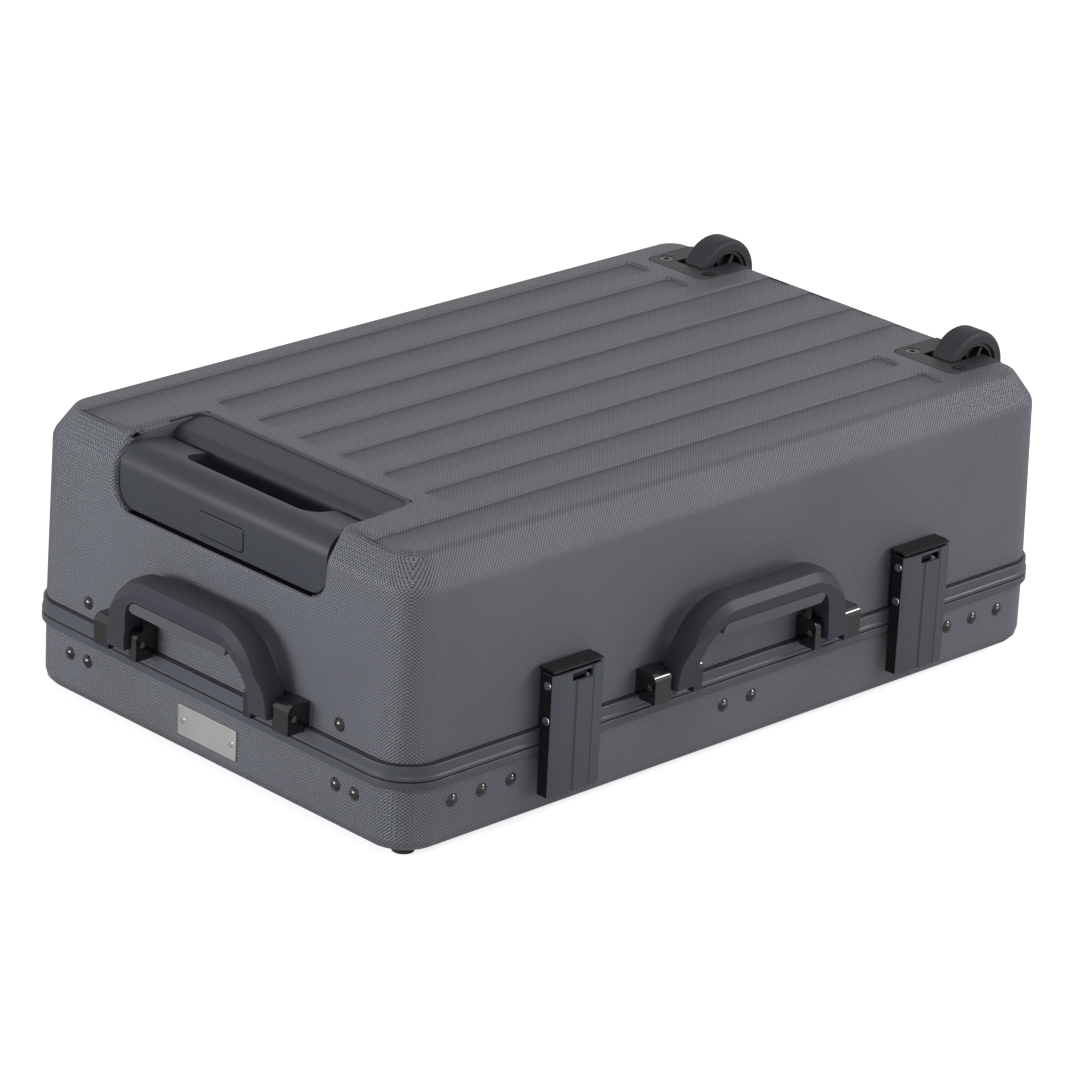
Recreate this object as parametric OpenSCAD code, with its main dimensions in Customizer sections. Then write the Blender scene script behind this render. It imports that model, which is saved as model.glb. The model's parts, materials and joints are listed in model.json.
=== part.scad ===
// Hard case for guitar pedals: a shallow tray and a deep lid on back hinges.
// Lengths in millimetres, +Z up, -Y is the latch side, -X is the trolley side.
// Every piece is drawn about the case's middle, with z = 0 at the parting plane, and
// place() then brings the origin to the middle of the footprint, on the ground.

/* [Case] */
// Length of the frame band
case_l = 640; // [600:1:720]
// Width of the frame band
case_w = 401; // [380:1:460]
// Corner radius of the frame band
corner_r = 34; // [30:1:40]
// Depth of the tray under the parting plane
tray_h = 54; // [50:1:80]
// Height of the lid over the parting plane
lid_h = 156; // [148:1:190]
// How far the tray shell stands inside the band
tray_inset = 3.1; // [2.6:0.1:4]
// Radius of the tray's bottom edge
tray_edge_r = 10; // [6:1:14]
// Wall of both shells
shell_wall = 2.5; // [2:0.1:3.2]
// How far the lid shell stands inside the band at its foot
lid_inset = 4; // [3:0.1:5]
// Lean of the lid's walls up to the shoulder
lid_lean = 2; // [1:0.1:3]
// Height of the sloping shoulder
shoulder_h = 22; // [18:1:26]
// Run of the sloping shoulder
shoulder_run = 17; // [13:1:20]
// Thickness of the lid's ribbed top
top_wall = 4.6; // [4:0.1:6]

/* [Frame band] */
// Height of the tray's band
tray_band_h = 6; // [5:0.1:8]
// Height of the lid's band
lid_band_h = 10.5; // [9:0.1:13]
// Open gap between the two bands
parting_gap = 1; // [0.8:0.1:1.6]
// Height of the proud bead along the lid's band
bead_h = 2.8; // [2:0.1:4]
// Step from the bead back to the band
bead_step = 0.9; // [0.5:0.1:1.2]
// Height of the black seal above the lid's band
lid_seal_h = 1.4; // [1:0.1:2]
// Thickness of the band's inner lip
band_lip = 2.4; // [1.8:0.1:3]
// Depth of the band's inner lip
band_lip_h = 14; // [10:1:20]
// Width of the rubber seal in the tray's band
seal_w = 3; // [2:0.1:3.6]

/* [Lid top] */
// Width of a channel
channel_w = 26; // [20:1:32]
// Spacing of the channels
channel_pitch = 43; // [38:1:45]
// Depth of a channel
channel_h = 2; // [1:0.1:2.6]
// Run of a channel's sloping wall
channel_slope = 2.5; // [1:0.1:4]
// Where the channels behind the trolley grip begin
channel_start = -218; // [-224:1:-180]
// Where the outer channels end, before the wheels
channel_stop = 237; // [200:1:240]

/* [Hinges] */
// Distance of each hinge from the middle
hinge_x = 198; // [170:1:230]
// Width of a hinge leaf
leaf_w = 60; // [50:1:80]
// Height of the leaf on the tray
tray_leaf_h = 26; // [20:1:30]
// Height of the leaf on the lid
lid_leaf_h = 32; // [26:1:40]
// Thickness of a hinge leaf
leaf_t = 1.5; // [1.2:0.1:2]

/* [Latches] */
// Distance of each latch from the middle
latch_x = 173; // [150:1:190]
// Width of a latch
latch_w = 47; // [42:1:56]
// Top of the flap above the parting plane
flap_top = 53.5; // [52:0.5:54]
// Foot of the flap below the parting plane
flap_foot = 36; // [30:1:42]
// How far the flap's face stands out
flap_out = 12; // [11.8:0.1:14]
// Sheet thickness of the flap
flap_wall = 1.8; // [1.4:0.1:2]
// Height of the flap's pivot
pivot_z = 45.8; // [44:0.1:46.5]
// Height of the trigger's pivot
trigger_z = 20; // [16:1:26]
// Distance of both pivots from the band
pivot_out = 6.5; // [6.2:0.1:6.8]
// Diameter of the latch pins
latch_pin_d = 3.6; // [3:0.1:4]
// Width of the finger notch in the flap
notch_w = 19; // [14:1:22]
// Depth of the finger notch
notch_h = 8; // [5:0.5:9]
// Offset of the finger notch
notch_x = 3.5; // [0:0.5:5]
// Width of the trigger
trigger_w = 18; // [14:1:22]

/* [Handles] */
// Half the distance across the outside of the grip's feet
grip_half = 85; // [80:1:90]
// Width of a grip's foot
foot_w = 19.5; // [16:0.5:22]
// Radius of the grip's upper corners
grip_round = 18; // [12:1:22]
// Half the length of the grip's straight top
grip_top_half = 57; // [50:1:60]
// Height of the grip's top
grip_top = 77.5; // [74:0.5:84]
// Height of the finger gap's ceiling
grip_gap_z = 59.5; // [56:0.5:62]
// Thickness of the soft insert
insert_t = 6; // [4:0.5:7]
// How far the grip stands out
grip_out = 28; // [26:0.5:30]
// Height of the handle's pins
grip_pin_z = 20; // [19:0.5:21]
// Distance of the handle's pins from the band
grip_pin_out = 9.5; // [9.3:0.1:10]
// Diameter of the handle's pins
grip_pin_d = 5; // [4:0.1:6]
// Gap on each side of a foot in its bracket
foot_gap = 1.2; // [0.8:0.1:2]
// Height of the bracket's lugs
lug_h = 22; // [18:1:24]
// Thickness of the bracket's inner lug
inner_lug = 8; // [6:0.5:10]
// Thickness of the bracket's outer lug
outer_lug = 16; // [12:0.5:18]

/* [Trolley] */
// Length of the trolley recess in the lid's top
recess_l = 87; // [82:1:96]
// Width of the trolley recess
recess_w = 224; // [216:1:236]
// Lower edge of the recess in the lid's end wall
recess_z = 100; // [98:0.5:103]
// Corner radius of the recess in the lid's top
recess_r = 10; // [8:1:12]
// Corner radius of the recess in the lid's end wall
face_r = 16; // [12:1:18]
// Gap between the shell and the recess cup
cup_gap = 0.6; // [0.4:0.1:1]
// Wall of the recess cup
cup_wall = 2.5; // [2:0.1:3]
// How deep the cup's rim lies inside the lid's walls
rim_sink = 6; // [4:0.5:7]
// Gap round the trolley grip in its cup
bar_gap = 1.5; // [1:0.1:2]
// Distance of the trolley grip's face from the band
bar_in = 10; // [9:0.5:12]
// Length of the trolley grip at its two ends
bar_l = 45; // [42:1:48]
// Thickness of the grip's bar in front of the fingers
bar_t = 19; // [17:0.5:20]
// Height of the trolley grip
bar_h = 44; // [41:0.5:44.5]
// Radius over the front of the trolley grip
bar_round = 16; // [12:0.5:16.5]
// Width of the finger opening in the trolley grip
slot_w = 134; // [110:1:140]
// Corner radius of the finger opening
slot_r = 13; // [8:1:16]
// Width of the release button
button_w = 46; // [38:1:60]
// Height of the release button
button_h = 17; // [14:0.5:20]
// Travel of the release button
button_travel = 3; // [2:0.5:4]
// Distance of the tubes' middles from the recess's sides
tube_in = 15.5; // [15:0.5:17]
// Height of the tubes over the recess's lower edge
tube_rise = 25; // [22:1:27]
// Width of the inner tube
tube_w = 9; // [8:0.5:10]
// Height of the inner tube
tube_h = 8; // [7:0.5:10]
// Wall of the tubes
tube_wall = 1.2; // [1:0.1:1.4]
// Gap between one tube and the next
tube_gap = 0.4; // [0.3:0.05:0.6]
// Length of the outer tube
tube_l = 330; // [300:5:360]
// How much shorter each next tube is
tube_step = 10; // [5:1:20]
// Length of the clamps that hold the outer tubes
clamp_l = 20; // [14:1:28]
// Distance of the clamps from the outer tubes' ends
clamp_in = 10; // [6:1:20]
// Wall of the clamps beside the tubes
clamp_wall = 4; // [3:0.5:6]

/* [Wheels] */
// Radius of a wheel
wheel_r = 29.5; // [26:0.5:30]
// Width of a wheel
wheel_w = 22; // [18:0.5:23]
// Distance of the wheels' centres from the band's end
wheel_in = 24; // [23:0.5:26]
// Height of the wheels' centres under the lid's top
wheel_drop = 13; // [12:0.5:16]
// Distance of the wheels' middles from the band's side
wheel_side = 72.8; // [71:0.1:75]
// Radius inside the tyre
hub_r = 20.8; // [18:0.1:22]
// Diameter of the axle
axle_d = 6; // [5:0.1:7]
// Gap between a wheel and its housing
wheel_gap = 2.5; // [1.5:0.1:3]
// Length of the housing's plate in front of the wheel
housing_l = 72; // [70:0.5:80]
// Width of the housing's plate
housing_w = 64; // [60:1:66]

/* [Details] */
// Height of the rubber feet
foot_h = 7; // [5:0.5:10]
// Diameter of the rubber feet
foot_d = 18; // [14:1:22]
// Diameter of the rivet heads
rivet_d = 10; // [8:0.5:11]
// Height of the rivet heads
rivet_h = 2.6; // [2:0.1:3.2]
// Diameter of the rivet shanks
rivet_shank = 4; // [3:0.1:5]
// Length of the bare plate
plate_l = 61; // [50:1:70]
// Height of the bare plate
plate_h = 22.5; // [18:0.5:26]
// Thickness of the bare plate
plate_t = 1.4; // [1:0.1:2]
// Thickness of the pedal deck
deck_t = 8; // [6:0.5:12]
// Height of the bearers under the deck
bearer_h = 18; // [14:1:22]
// Width of the bearers
bearer_w = 24; // [18:1:30]
// Wall of the bearers
bearer_wall = 2; // [1.2:0.1:3]
// Distance of the bearers from the middle
bearer_y = 120; // [90:1:150]
// Thickness of the deck's loop cover
cover_t = 1.5; // [1:0.1:3]
// Thickness of the lid's inner panel
panel_t = 2; // [1.5:0.1:3]
// Thickness of the lid's foam pad
foam_t = 12; // [8:1:20]

/* [Hidden] */
$fn = 64;

shell_colour = [0.40, 0.41, 0.44];
band_colour = [0.33, 0.34, 0.38];
trim_colour = [0.28, 0.30, 0.34];
black = [0.07, 0.07, 0.08];
rubber = [0.12, 0.12, 0.13];
steel = [0.70, 0.70, 0.72];
silver = [0.80, 0.80, 0.81];

// Clearances: a sliding seat, a running fit on a pin, a free gap between moving pieces,
// a near gap between still ones, and the gap between the band and what stands over it
seat = 0.1;
run = 0.05;
free = 0.5;
near = 0.4;
over_band = 0.35;
wall_gap = 0.3;
eps = 0.01;

// Heights of the lid's shell, over the parting plane
half_gap = parting_gap / 2;
lid_band_top = half_gap + lid_band_h;
lid_shell_z = lid_band_top + lid_seal_h;
shoulder_z = lid_h - shoulder_h;
lid_ceiling = lid_h - top_wall;
lid_shell_r = corner_r - lid_inset - 2;
lid_top_r = lid_shell_r - 12;
tray_r = corner_r - tray_inset;

// Handles
arm_in = grip_half - foot_w;
grip_foot_z = grip_pin_z - 4.5;
foot_top = grip_pin_z + 12;
gap_run = 14;
gap_lean = 9;
gap_drop = 8;
gap_r = 5;
grip_lean = 11;
grip_drop = 6;
grip_flare = 3;
lug_foot_z = grip_pin_z - lug_h / 2;
lug_top_z = grip_pin_z + lug_h / 2;
lug_out = grip_pin_out + 6;
lug_r = 6;

// Hinges
knuckle_r = 3.4;
hinge_out = knuckle_r + 0.4;
hinge_pin_d = 3.2;
leaf_start = 4;
knuckle_gap = 0.4;

// Trolley
recess_back = -case_l / 2 + recess_l;
bar_face = -case_l / 2 + bar_in;
bar_back = bar_face + bar_l;
bar_z = recess_z + cup_gap + cup_wall + bar_gap;
bar_top = bar_z + bar_h;
bar_back_top = bar_top - 4;
pocket_back = bar_back + bar_gap;
past = 20;
tube_y = recess_w / 2 - tube_in;
tube_z = recess_z + tube_rise;
tube_w2 = tube_w + 2 * (tube_wall + tube_gap);
tube_h2 = tube_h + 2 * (tube_wall + tube_gap);
tube_w3 = tube_w2 + 2 * (tube_wall + tube_gap);
tube_h3 = tube_h2 + 2 * (tube_wall + tube_gap);
tube_start = pocket_back;
socket_l = 25;
button_z = bar_z + button_h / 2 + 5;
button_depth = 5;
button_out = 0.8;

// Wheels
wheel_x = case_l / 2 - wheel_in;
wheel_y = case_w / 2 - wheel_side;
wheel_z = lid_h - wheel_drop;
housing_x = wheel_x + wheel_in - housing_l;
housing_z = wheel_z - wheel_r - 4;
housing_r = 8;
cheek_t = 8;
screw_dy = housing_w / 2 - 9;
screw_x = housing_x + 15;

// Where the middle of the footprint lies, from the case's middle
place_x = (case_l / 2 + grip_out - wheel_x - wheel_r) / 2;
place_y = (grip_out - hinge_out - knuckle_r) / 2;
place_z = foot_h + tray_h;

module place() translate([place_x, place_y, place_z]) children();

// ---- helpers ----

// A rectangle with true round corners
module round_rect(l, w, r) {
    square([l - 2 * r, w], center = true);
    square([l, w - 2 * r], center = true);
    for (sx = [-1, 1], sy = [-1, 1])
        translate([sx * (l / 2 - r), sy * (w / 2 - r)])
            circle(r);
}

module slab(l, w, r, h) linear_extrude(h) round_rect(l, w, r);

// A ring that follows the band, between two insets from its outer face
module ring(inset_out, inset_in, z, h)
    translate([0, 0, z])
        linear_extrude(h)
            difference() {
                round_rect(case_l - 2 * inset_out, case_w - 2 * inset_out, corner_r - inset_out);
                round_rect(case_l - 2 * inset_in, case_w - 2 * inset_in, corner_r - inset_in);
            }

// A block with round corners and a round bottom edge, standing on z = 0
module pan(l, w, r, h, edge)
    hull()
        for (a = [0:30:90]) {
            inset = edge * (1 - sin(a));
            translate([0, 0, edge * (1 - cos(a))])
                slab(l - 2 * inset, w - 2 * inset, r - inset, a < 90 ? eps : h - edge, $fn = 48);
        }

// The lid's outside, drawn in by d: walls that lean, a sloping shoulder and a flat top
module lid_solid(d, top)
    hull() {
        lid_slice(lid_inset + d, lid_shell_r - d, lid_shell_z);
        lid_slice(lid_inset + lid_lean + d, lid_shell_r - d, shoulder_z);
        lid_slice(lid_inset + shoulder_run + d, lid_top_r - d, top - eps);
    }

module lid_slice(inset, r, z)
    translate([0, 0, z])
        linear_extrude(eps)
            round_rect(case_l - 2 * inset, case_w - 2 * inset, max(r, 2), $fn = 48);

// Inset of the lid's outside at a height
function lid_in(z) = lid_inset + lid_lean * (z - lid_shell_z) / (shoulder_z - lid_shell_z);

// Places a piece drawn with +X along the wall and -Y outwards
module front_at(x) translate([x, -case_w / 2, 0]) children();
module back_at(x) translate([x, case_w / 2, 0]) rotate([0, 0, 180]) children();
module end_at(y) translate([-case_l / 2, y, 0]) rotate([0, 0, -90]) children();

// A box from lowest to highest corner, with y given as distance out from the wall
module block(u0, u1, out0, out1, z0, z1)
    translate([u0, -out1, z0]) cube([u1 - u0, out1 - out0, z1 - z0]);

// A pin along X
module pin_x(u0, u1, out, z, d)
    translate([u0, -out, z]) rotate([0, 90, 0]) cylinder(d = d, h = u1 - u0);

// A domed head on a wall, with its shank through the wall
module rivet(wall_out) {
    translate([0, -wall_out, 0])
        rotate([90, 0, 0])
            difference() {
                dome();
                translate([0, 0, -rivet_d]) cylinder(d = 2 * rivet_d, h = rivet_d);
            }
    translate([0, -wall_out + shell_wall + 0.8, 0])
        rotate([90, 0, 0])
            cylinder(d = rivet_shank, h = shell_wall + 1);
}

// A cap of a sphere, rivet_d wide and rivet_h high
module dome() {
    r = (rivet_d * rivet_d / 4 + rivet_h * rivet_h) / (2 * rivet_h);
    intersection() {
        translate([0, 0, rivet_h - r]) sphere(r);
        translate([0, 0, -0.2]) cylinder(d = rivet_d, h = rivet_h + 1);
    }
}

module rivet_hole(wall_out)
    translate([0, -wall_out + shell_wall + 1, 0])
        rotate([90, 0, 0])
            cylinder(d = rivet_shank + 2 * seat, h = shell_wall + 3);

front_rivets = [-272, -245, -218, -14, 14, 218, 245, 272];
end_rivets = [-150, -131, 131, 150];
rivet_z = -20.5;
lid_rivet_y = 132;
lid_rivet_z = 23.5;

// ---- tray ----

module tray_shell() color(shell_colour)
    difference() {
        translate([0, 0, -tray_h])
            pan(case_l - 2 * tray_inset, case_w - 2 * tray_inset, tray_r,
                tray_h - half_gap - 1.5, tray_edge_r);
        translate([0, 0, shell_wall - tray_h])
            pan(case_l - 2 * (tray_inset + shell_wall), case_w - 2 * (tray_inset + shell_wall),
                tray_r - shell_wall, tray_h, tray_edge_r - shell_wall);
        for (x = front_rivets)
            front_at(x) translate([0, 0, rivet_z]) rivet_hole(-tray_inset);
        for (y = end_rivets)
            end_at(y) translate([0, 0, rivet_z]) rivet_hole(-tray_inset);
    }

module tray_frame() color(band_colour)
    difference() {
        union() {
            ring(0, tray_inset + shell_wall + seat + band_lip, -tray_band_h, tray_band_h - half_gap);
            ring(tray_inset + shell_wall + seat, tray_inset + shell_wall + seat + band_lip,
                 -band_lip_h, band_lip_h - half_gap);
        }
        ring(tray_inset - seat, tray_inset + shell_wall + seat, -tray_band_h - 1,
             tray_band_h + 1 - half_gap - 1.4);
        ring(seal_in, seal_in + seal_w + 2 * seat, -half_gap - 1, 2);
    }

seal_in = 1.2;

module tray_seal() color(rubber)
    ring(seal_in + seat, seal_in + seat + seal_w, -half_gap - 1 + seat, 1.2 + half_gap - 0.3);

module feet() color(rubber)
    for (sx = [-1, 1], sy = [-1, 1])
        translate([sx * (case_l / 2 - 29), sy * (case_w / 2 - 28.5), -tray_h - foot_h])
            cylinder(d1 = foot_d - 2, d2 = foot_d, h = foot_h);

module bare_plate() color(silver)
    end_at(0)
        difference() {
            translate([0, tray_inset, plate_z])
                rotate([90, 0, 0])
                    linear_extrude(plate_t)
                        round_rect(plate_l, plate_h, 1.2);
            for (s = [-1, 1])
                translate([s * plate_screw_u, tray_inset + 1, plate_z])
                    rotate([90, 0, 0])
                        cylinder(d = 2.4 + 2 * seat, h = plate_t + 2);
        }

plate_z = -28.3;
plate_screw_u = plate_l / 2 - 5;

module plate_screws() color(steel)
    end_at(0)
        for (s = [-1, 1])
            translate([s * plate_screw_u, tray_inset, plate_z])
                rotate([90, 0, 0]) {
                    cylinder(d = 2.4, h = plate_t);
                    translate([0, 0, plate_t]) cylinder(d1 = 4.6, d2 = 3.4, h = 0.7);
                }

module tray_rivets() color(steel) {
    for (x = front_rivets)
        front_at(x) translate([0, 0, rivet_z]) rivet(-tray_inset);
    for (y = end_rivets)
        end_at(y) translate([0, 0, rivet_z]) rivet(-tray_inset);
}

// ---- lid ----

// One channel's cross-section, sunk from the lid's top
module channel_section()
    polygon([
        [-channel_w / 2, 1],
        [-channel_w / 2, 0],
        [-channel_w / 2 + channel_slope, -channel_h],
        [channel_w / 2 - channel_slope, -channel_h],
        [channel_w / 2, 0],
        [channel_w / 2, 1]
    ]);

module channel(y, x0, x1)
    translate([x0, y, lid_h])
        rotate([90, 0, 90])
            linear_extrude(x1 - x0)
                channel_section();

module channels() {
    edge = case_l / 2;
    for (s = [-1, 1]) {
        channel(s * channel_pitch * 0.5, channel_start, edge);
        channel(s * channel_pitch * 1.5, channel_start, edge);
        channel(s * channel_pitch * 2.5, channel_start, channel_stop);
        channel(s * channel_pitch * 3.5, -edge, channel_stop);
    }
}

// The trolley recess seen from above, less a gap; it runs out past the lid's end
module recess_plan(gap)
    translate([-case_l / 2 - past, -recess_w / 2 + gap])
        union() {
            square([recess_l + past - gap - recess_r, recess_w - 2 * gap]);
            translate([0, recess_r])
                square([recess_l + past - gap, recess_w - 2 * gap - 2 * recess_r]);
            for (y = [recess_r, recess_w - 2 * gap - recess_r])
                translate([recess_l + past - gap - recess_r, y])
                    circle(recess_r);
        }

// The trolley recess seen from the lid's end, less a gap at its foot and sides
module recess_face(gap)
    translate([-recess_w / 2 + gap, recess_z + gap])
        union() {
            translate([0, face_r])
                square([recess_w - 2 * gap, lid_h]);
            translate([face_r, 0])
                square([recess_w - 2 * gap - 2 * face_r, lid_h]);
            for (y = [face_r, recess_w - 2 * gap - face_r])
                translate([y, face_r])
                    circle(face_r);
        }

module recess_prism(gap)
    intersection() {
        translate([0, 0, recess_z / 2])
            linear_extrude(lid_h)
                recess_plan(gap);
        translate([-case_l / 2 - past, 0, 0])
            rotate([90, 0, 90])
                linear_extrude(recess_l + past)
                    recess_face(gap);
    }

// The wheel housing's outline from above, less a gap all round
module housing_prism(s, gap)
    translate([housing_x + gap, s * wheel_y, housing_z + gap])
        linear_extrude(lid_h)
            translate([housing_l, 0])
                round_rect(2 * housing_l, housing_w - 2 * gap, housing_r);

module lid_shell() color(shell_colour)
    difference() {
        lid_solid(0, lid_h);
        translate([0, 0, -eps]) lid_solid(shell_wall, lid_ceiling);
        channels();
        recess_prism(0);
        for (s = [-1, 1])
            housing_prism(s, 0);
        for (s = [-1, 1])
            end_at(s * lid_rivet_y) translate([0, 0, lid_rivet_z]) rivet_hole(-lid_in(lid_rivet_z));
    }

module lid_frame() color(band_colour)
    union() {
        ring(0, lip_in + band_lip, half_gap, bead_h);
        ring(bead_step, lip_in + band_lip, half_gap + bead_h - eps, lid_band_h - bead_h + eps);
        ring(lip_in, lip_in + band_lip, half_gap, band_lip_h);
    }

lip_in = lid_inset + lid_lean * 0.1 + shell_wall + 2 * seat;

module lid_seal() color(black)
    ring(lid_inset - 1.2, lip_in - seat, lid_band_top, lid_seal_h - seat);

module lid_rivets() color(steel)
    for (s = [-1, 1])
        end_at(s * lid_rivet_y)
            translate([0, 0, lid_rivet_z])
                rivet(-lid_in(lid_rivet_z) + 0.15);

// ---- hinges ----

// A leaf with its plate on one side of the axis, and knuckles between pairs of stations
module leaf(sign, wall_in, plate_to, knuckles) {
    z0 = sign > 0 ? leaf_start : -plate_to;
    z1 = sign > 0 ? plate_to : -leaf_start;
    pin_r = hinge_pin_d / 2;
    difference() {
        union() {
            block(-leaf_w / 2, leaf_w / 2, over_band, over_band + leaf_t, z0, z1);
            for (k = knuckles) {
                pin_x(k[0], k[1], hinge_out, 0, 2 * knuckle_r);
                block(k[0], k[1], near, hinge_out - pin_r,
                      sign > 0 ? pin_r : -leaf_start - 1, sign > 0 ? leaf_start + 1 : -pin_r);
            }
            block(-leaf_w / 2, leaf_w / 2, -wall_in, near,
                  sign > 0 ? lid_shell_z + near : z0, sign > 0 ? z1 : -tray_band_h - near);
        }
        pin_x(-leaf_w, leaf_w, hinge_out, 0, hinge_pin_d + 2 * run);
    }
}

module hinge_tray_leaves() color(trim_colour)
    for (s = [-1, 1])
        back_at(s * hinge_x)
            leaf(-1, tray_inset, tray_leaf_h,
                 [[-leaf_w / 2, -leaf_w / 6 - knuckle_gap], [leaf_w / 6 + knuckle_gap, leaf_w / 2]]);

module hinge_lid_leaves() color(trim_colour)
    for (s = [-1, 1])
        back_at(s * hinge_x)
            leaf(1, lid_inset - seat, lid_leaf_h, [[-leaf_w / 6, leaf_w / 6]]);

module hinge_pins() color(steel)
    for (s = [-1, 1])
        back_at(s * hinge_x) {
            pin_x(-leaf_w / 2 - 1, leaf_w / 2 + 1, hinge_out, 0, hinge_pin_d);
            for (e = [-1, 1])
                pin_x(e > 0 ? leaf_w / 2 + seat : -leaf_w / 2 - 1.5 - seat,
                      e > 0 ? leaf_w / 2 + 1.5 + seat : -leaf_w / 2 - seat,
                      hinge_out, 0, hinge_pin_d + 1.6);
        }

// ---- latches ----

plate_in = lid_inset - near;
plate_out = -plate_in + 1.4;
ear_in = latch_w / 2 - flap_wall - near;
ear_t = 2.6;
keeper_out = 1.7;
ridge_out = 0.6;
hood_t = 3.5;
hood_z = pivot_z + norm([flap_top - pivot_z, flap_out + ridge_out - pivot_out]) + free;
hood_out = flap_out - 3;

// The hood over the flap's top end, with a round front edge, seen from the side
module hood()
    translate([-latch_w / 2, 0, 0])
        rotate([90, 0, 90])
            linear_extrude(latch_w)
                union() {
                    translate([-hood_out + hood_t, hood_z])
                        square([hood_out - hood_t + plate_in, hood_t]);
                    intersection() {
                        translate([-hood_out + hood_t, hood_z]) circle(hood_t);
                        translate([-hood_out, hood_z]) square(2 * hood_t);
                    }
                }

module latch_base(s) color(black)
    front_at(s * latch_x)
        difference() {
            union() {
                block(-ear_in, ear_in, -plate_in, plate_out, lid_shell_z + 0.6, hood_z + 1);
                hood();
                for (e = [-1, 1]) {
                    u = e > 0 ? ear_in - ear_t : -ear_in;
                    pin_x(u, u + ear_t, pivot_out, pivot_z, 2 * (flap_out - flap_wall - pivot_out - near));
                    block(u, u + ear_t, -plate_in, pivot_out, pivot_z - 3, pivot_z + 3);
                }
            }
            pin_x(-latch_w, latch_w, pivot_out, pivot_z, latch_pin_d + 2 * run);
        }

// The flap's cross-section: a channel with two ribs, a groove and a ridge on its face
module flap_section() {
    w = latch_w / 2;
    polygon([
        [-w, -0.6], [-w, -flap_out + 2], [-w + 8, -flap_out], [-w + 17.5, -flap_out],
        [-w + 18.5, -flap_out + 1], [-w + 22, -flap_out + 1], [-w + 23, -flap_out],
        [-w + 37, -flap_out], [-w + 38, -flap_out - ridge_out], [-w + 39, -flap_out],
        [w, -flap_out + 0.6], [w, -0.6], [w - flap_wall, -0.6],
        [w - flap_wall, -flap_out + flap_wall + 0.2], [-w + flap_wall, -flap_out + flap_wall + 0.2],
        [-w + flap_wall, -0.6]
    ]);
}

module latch_flap(s) color(band_colour)
    front_at(s * latch_x)
        difference() {
            translate([0, 0, -flap_foot]) linear_extrude(flap_foot + flap_top) flap_section();
            block(notch_x - notch_w / 2, notch_x + notch_w / 2, 0, 2 * flap_out,
                  flap_top - notch_h, flap_top + 1);
            pin_x(-latch_w, latch_w, pivot_out, pivot_z, latch_pin_d + 2 * run);
            pin_x(-latch_w, latch_w, pivot_out, trigger_z, latch_pin_d + 2 * run);
        }

trigger_back = pivot_out - 3;
trigger_foot = 22;
hook_h = 3;

module latch_trigger(s) color(black)
    front_at(s * latch_x)
        difference() {
            union() {
                block(-trigger_w / 2, trigger_w / 2, trigger_back, trigger_back + 2,
                      -trigger_foot, flap_top - 2);
                block(-trigger_w / 2, trigger_w / 2, keeper_out + near, trigger_back + 1,
                      -trigger_foot, hook_h - trigger_foot);
                block(notch_x - notch_w / 2 + 1, trigger_w / 2, trigger_back + 1, trigger_back + 5,
                      flap_top - notch_h + 2, flap_top - 2);
                pin_x(-trigger_w / 2, trigger_w / 2, pivot_out, trigger_z, 6);
            }
            pin_x(-latch_w, latch_w, pivot_out, trigger_z, latch_pin_d + 2 * run);
        }

// Two short pins, one at each ear, with a head outside the flap
module latch_pivots(s) color(steel)
    front_at(s * latch_x)
        for (e = [-1, 1])
            mirror([e > 0 ? 0 : 1, 0, 0]) {
                pin_x(ear_in - ear_t - 0.5, latch_w / 2 + 0.3, pivot_out, pivot_z, latch_pin_d);
                pin_x(latch_w / 2 + seat, latch_w / 2 + 1.2, pivot_out, pivot_z, latch_pin_d + 2.4);
            }

module latch_trigger_pin(s) color(steel)
    front_at(s * latch_x) {
        pin_x(-latch_w / 2 - 0.3, latch_w / 2 + 0.3, pivot_out, trigger_z, latch_pin_d);
        for (e = [-1, 1])
            mirror([e > 0 ? 0 : 1, 0, 0])
                pin_x(latch_w / 2 + seat, latch_w / 2 + 1.2, pivot_out, trigger_z, latch_pin_d + 2.4);
    }

module latch_keeper(s) color(steel)
    front_at(s * latch_x) {
        block(-trigger_w / 2 - 2, trigger_w / 2 + 2, -tray_inset, -tray_inset + 1.5,
              -trigger_foot - 6, -tray_band_h - 0.6);
        block(-trigger_w / 2, trigger_w / 2, -tray_inset, keeper_out,
              hook_h + 1 - trigger_foot, -tray_band_h - 0.6);
    }

// ---- handles ----

// The finger gap, as seen from the front
module gap_outline()
    offset(r = gap_r, $fn = 32) offset(delta = -gap_r)
        polygon([
            [-arm_in, 0], [-arm_in, foot_top], [gap_lean - arm_in, grip_gap_z - gap_drop],
            [gap_run - arm_in, grip_gap_z], [arm_in - gap_run, grip_gap_z],
            [arm_in - gap_lean, grip_gap_z - gap_drop], [arm_in, foot_top], [arm_in, 0]
        ]);

// The grip's outside, as seen from the front
module grip_outline()
    offset(r = grip_round, $fn = 64) offset(delta = -grip_round)
        polygon([
            [-grip_half, -grip_foot_z], [-grip_half, foot_top],
            [grip_lean - grip_half, grip_gap_z - grip_drop],
            [-grip_top_half - grip_flare, grip_top], [grip_top_half + grip_flare, grip_top],
            [grip_half - grip_lean, grip_gap_z - grip_drop],
            [grip_half, foot_top], [grip_half, -grip_foot_z]
        ]);

// The grip as seen from its side: the feet stand close to the wall, the bar stands out
module grip_side()
    offset(r = 3, $fn = 24) offset(delta = -3)
        polygon([
            [2, grip_foot_z], [grip_out - 9, grip_foot_z], [grip_out - 8, foot_top + 6],
            [grip_out - 1, grip_gap_z - 1], [grip_out, grip_gap_z + 7], [grip_out - 3, grip_top - 2],
            [grip_out - 8, grip_top], [grip_out - 17, grip_top], [grip_out - 21, grip_gap_z + 6],
            [grip_out - 23, foot_top + 14], [2, foot_top + 2]
        ]);

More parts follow.
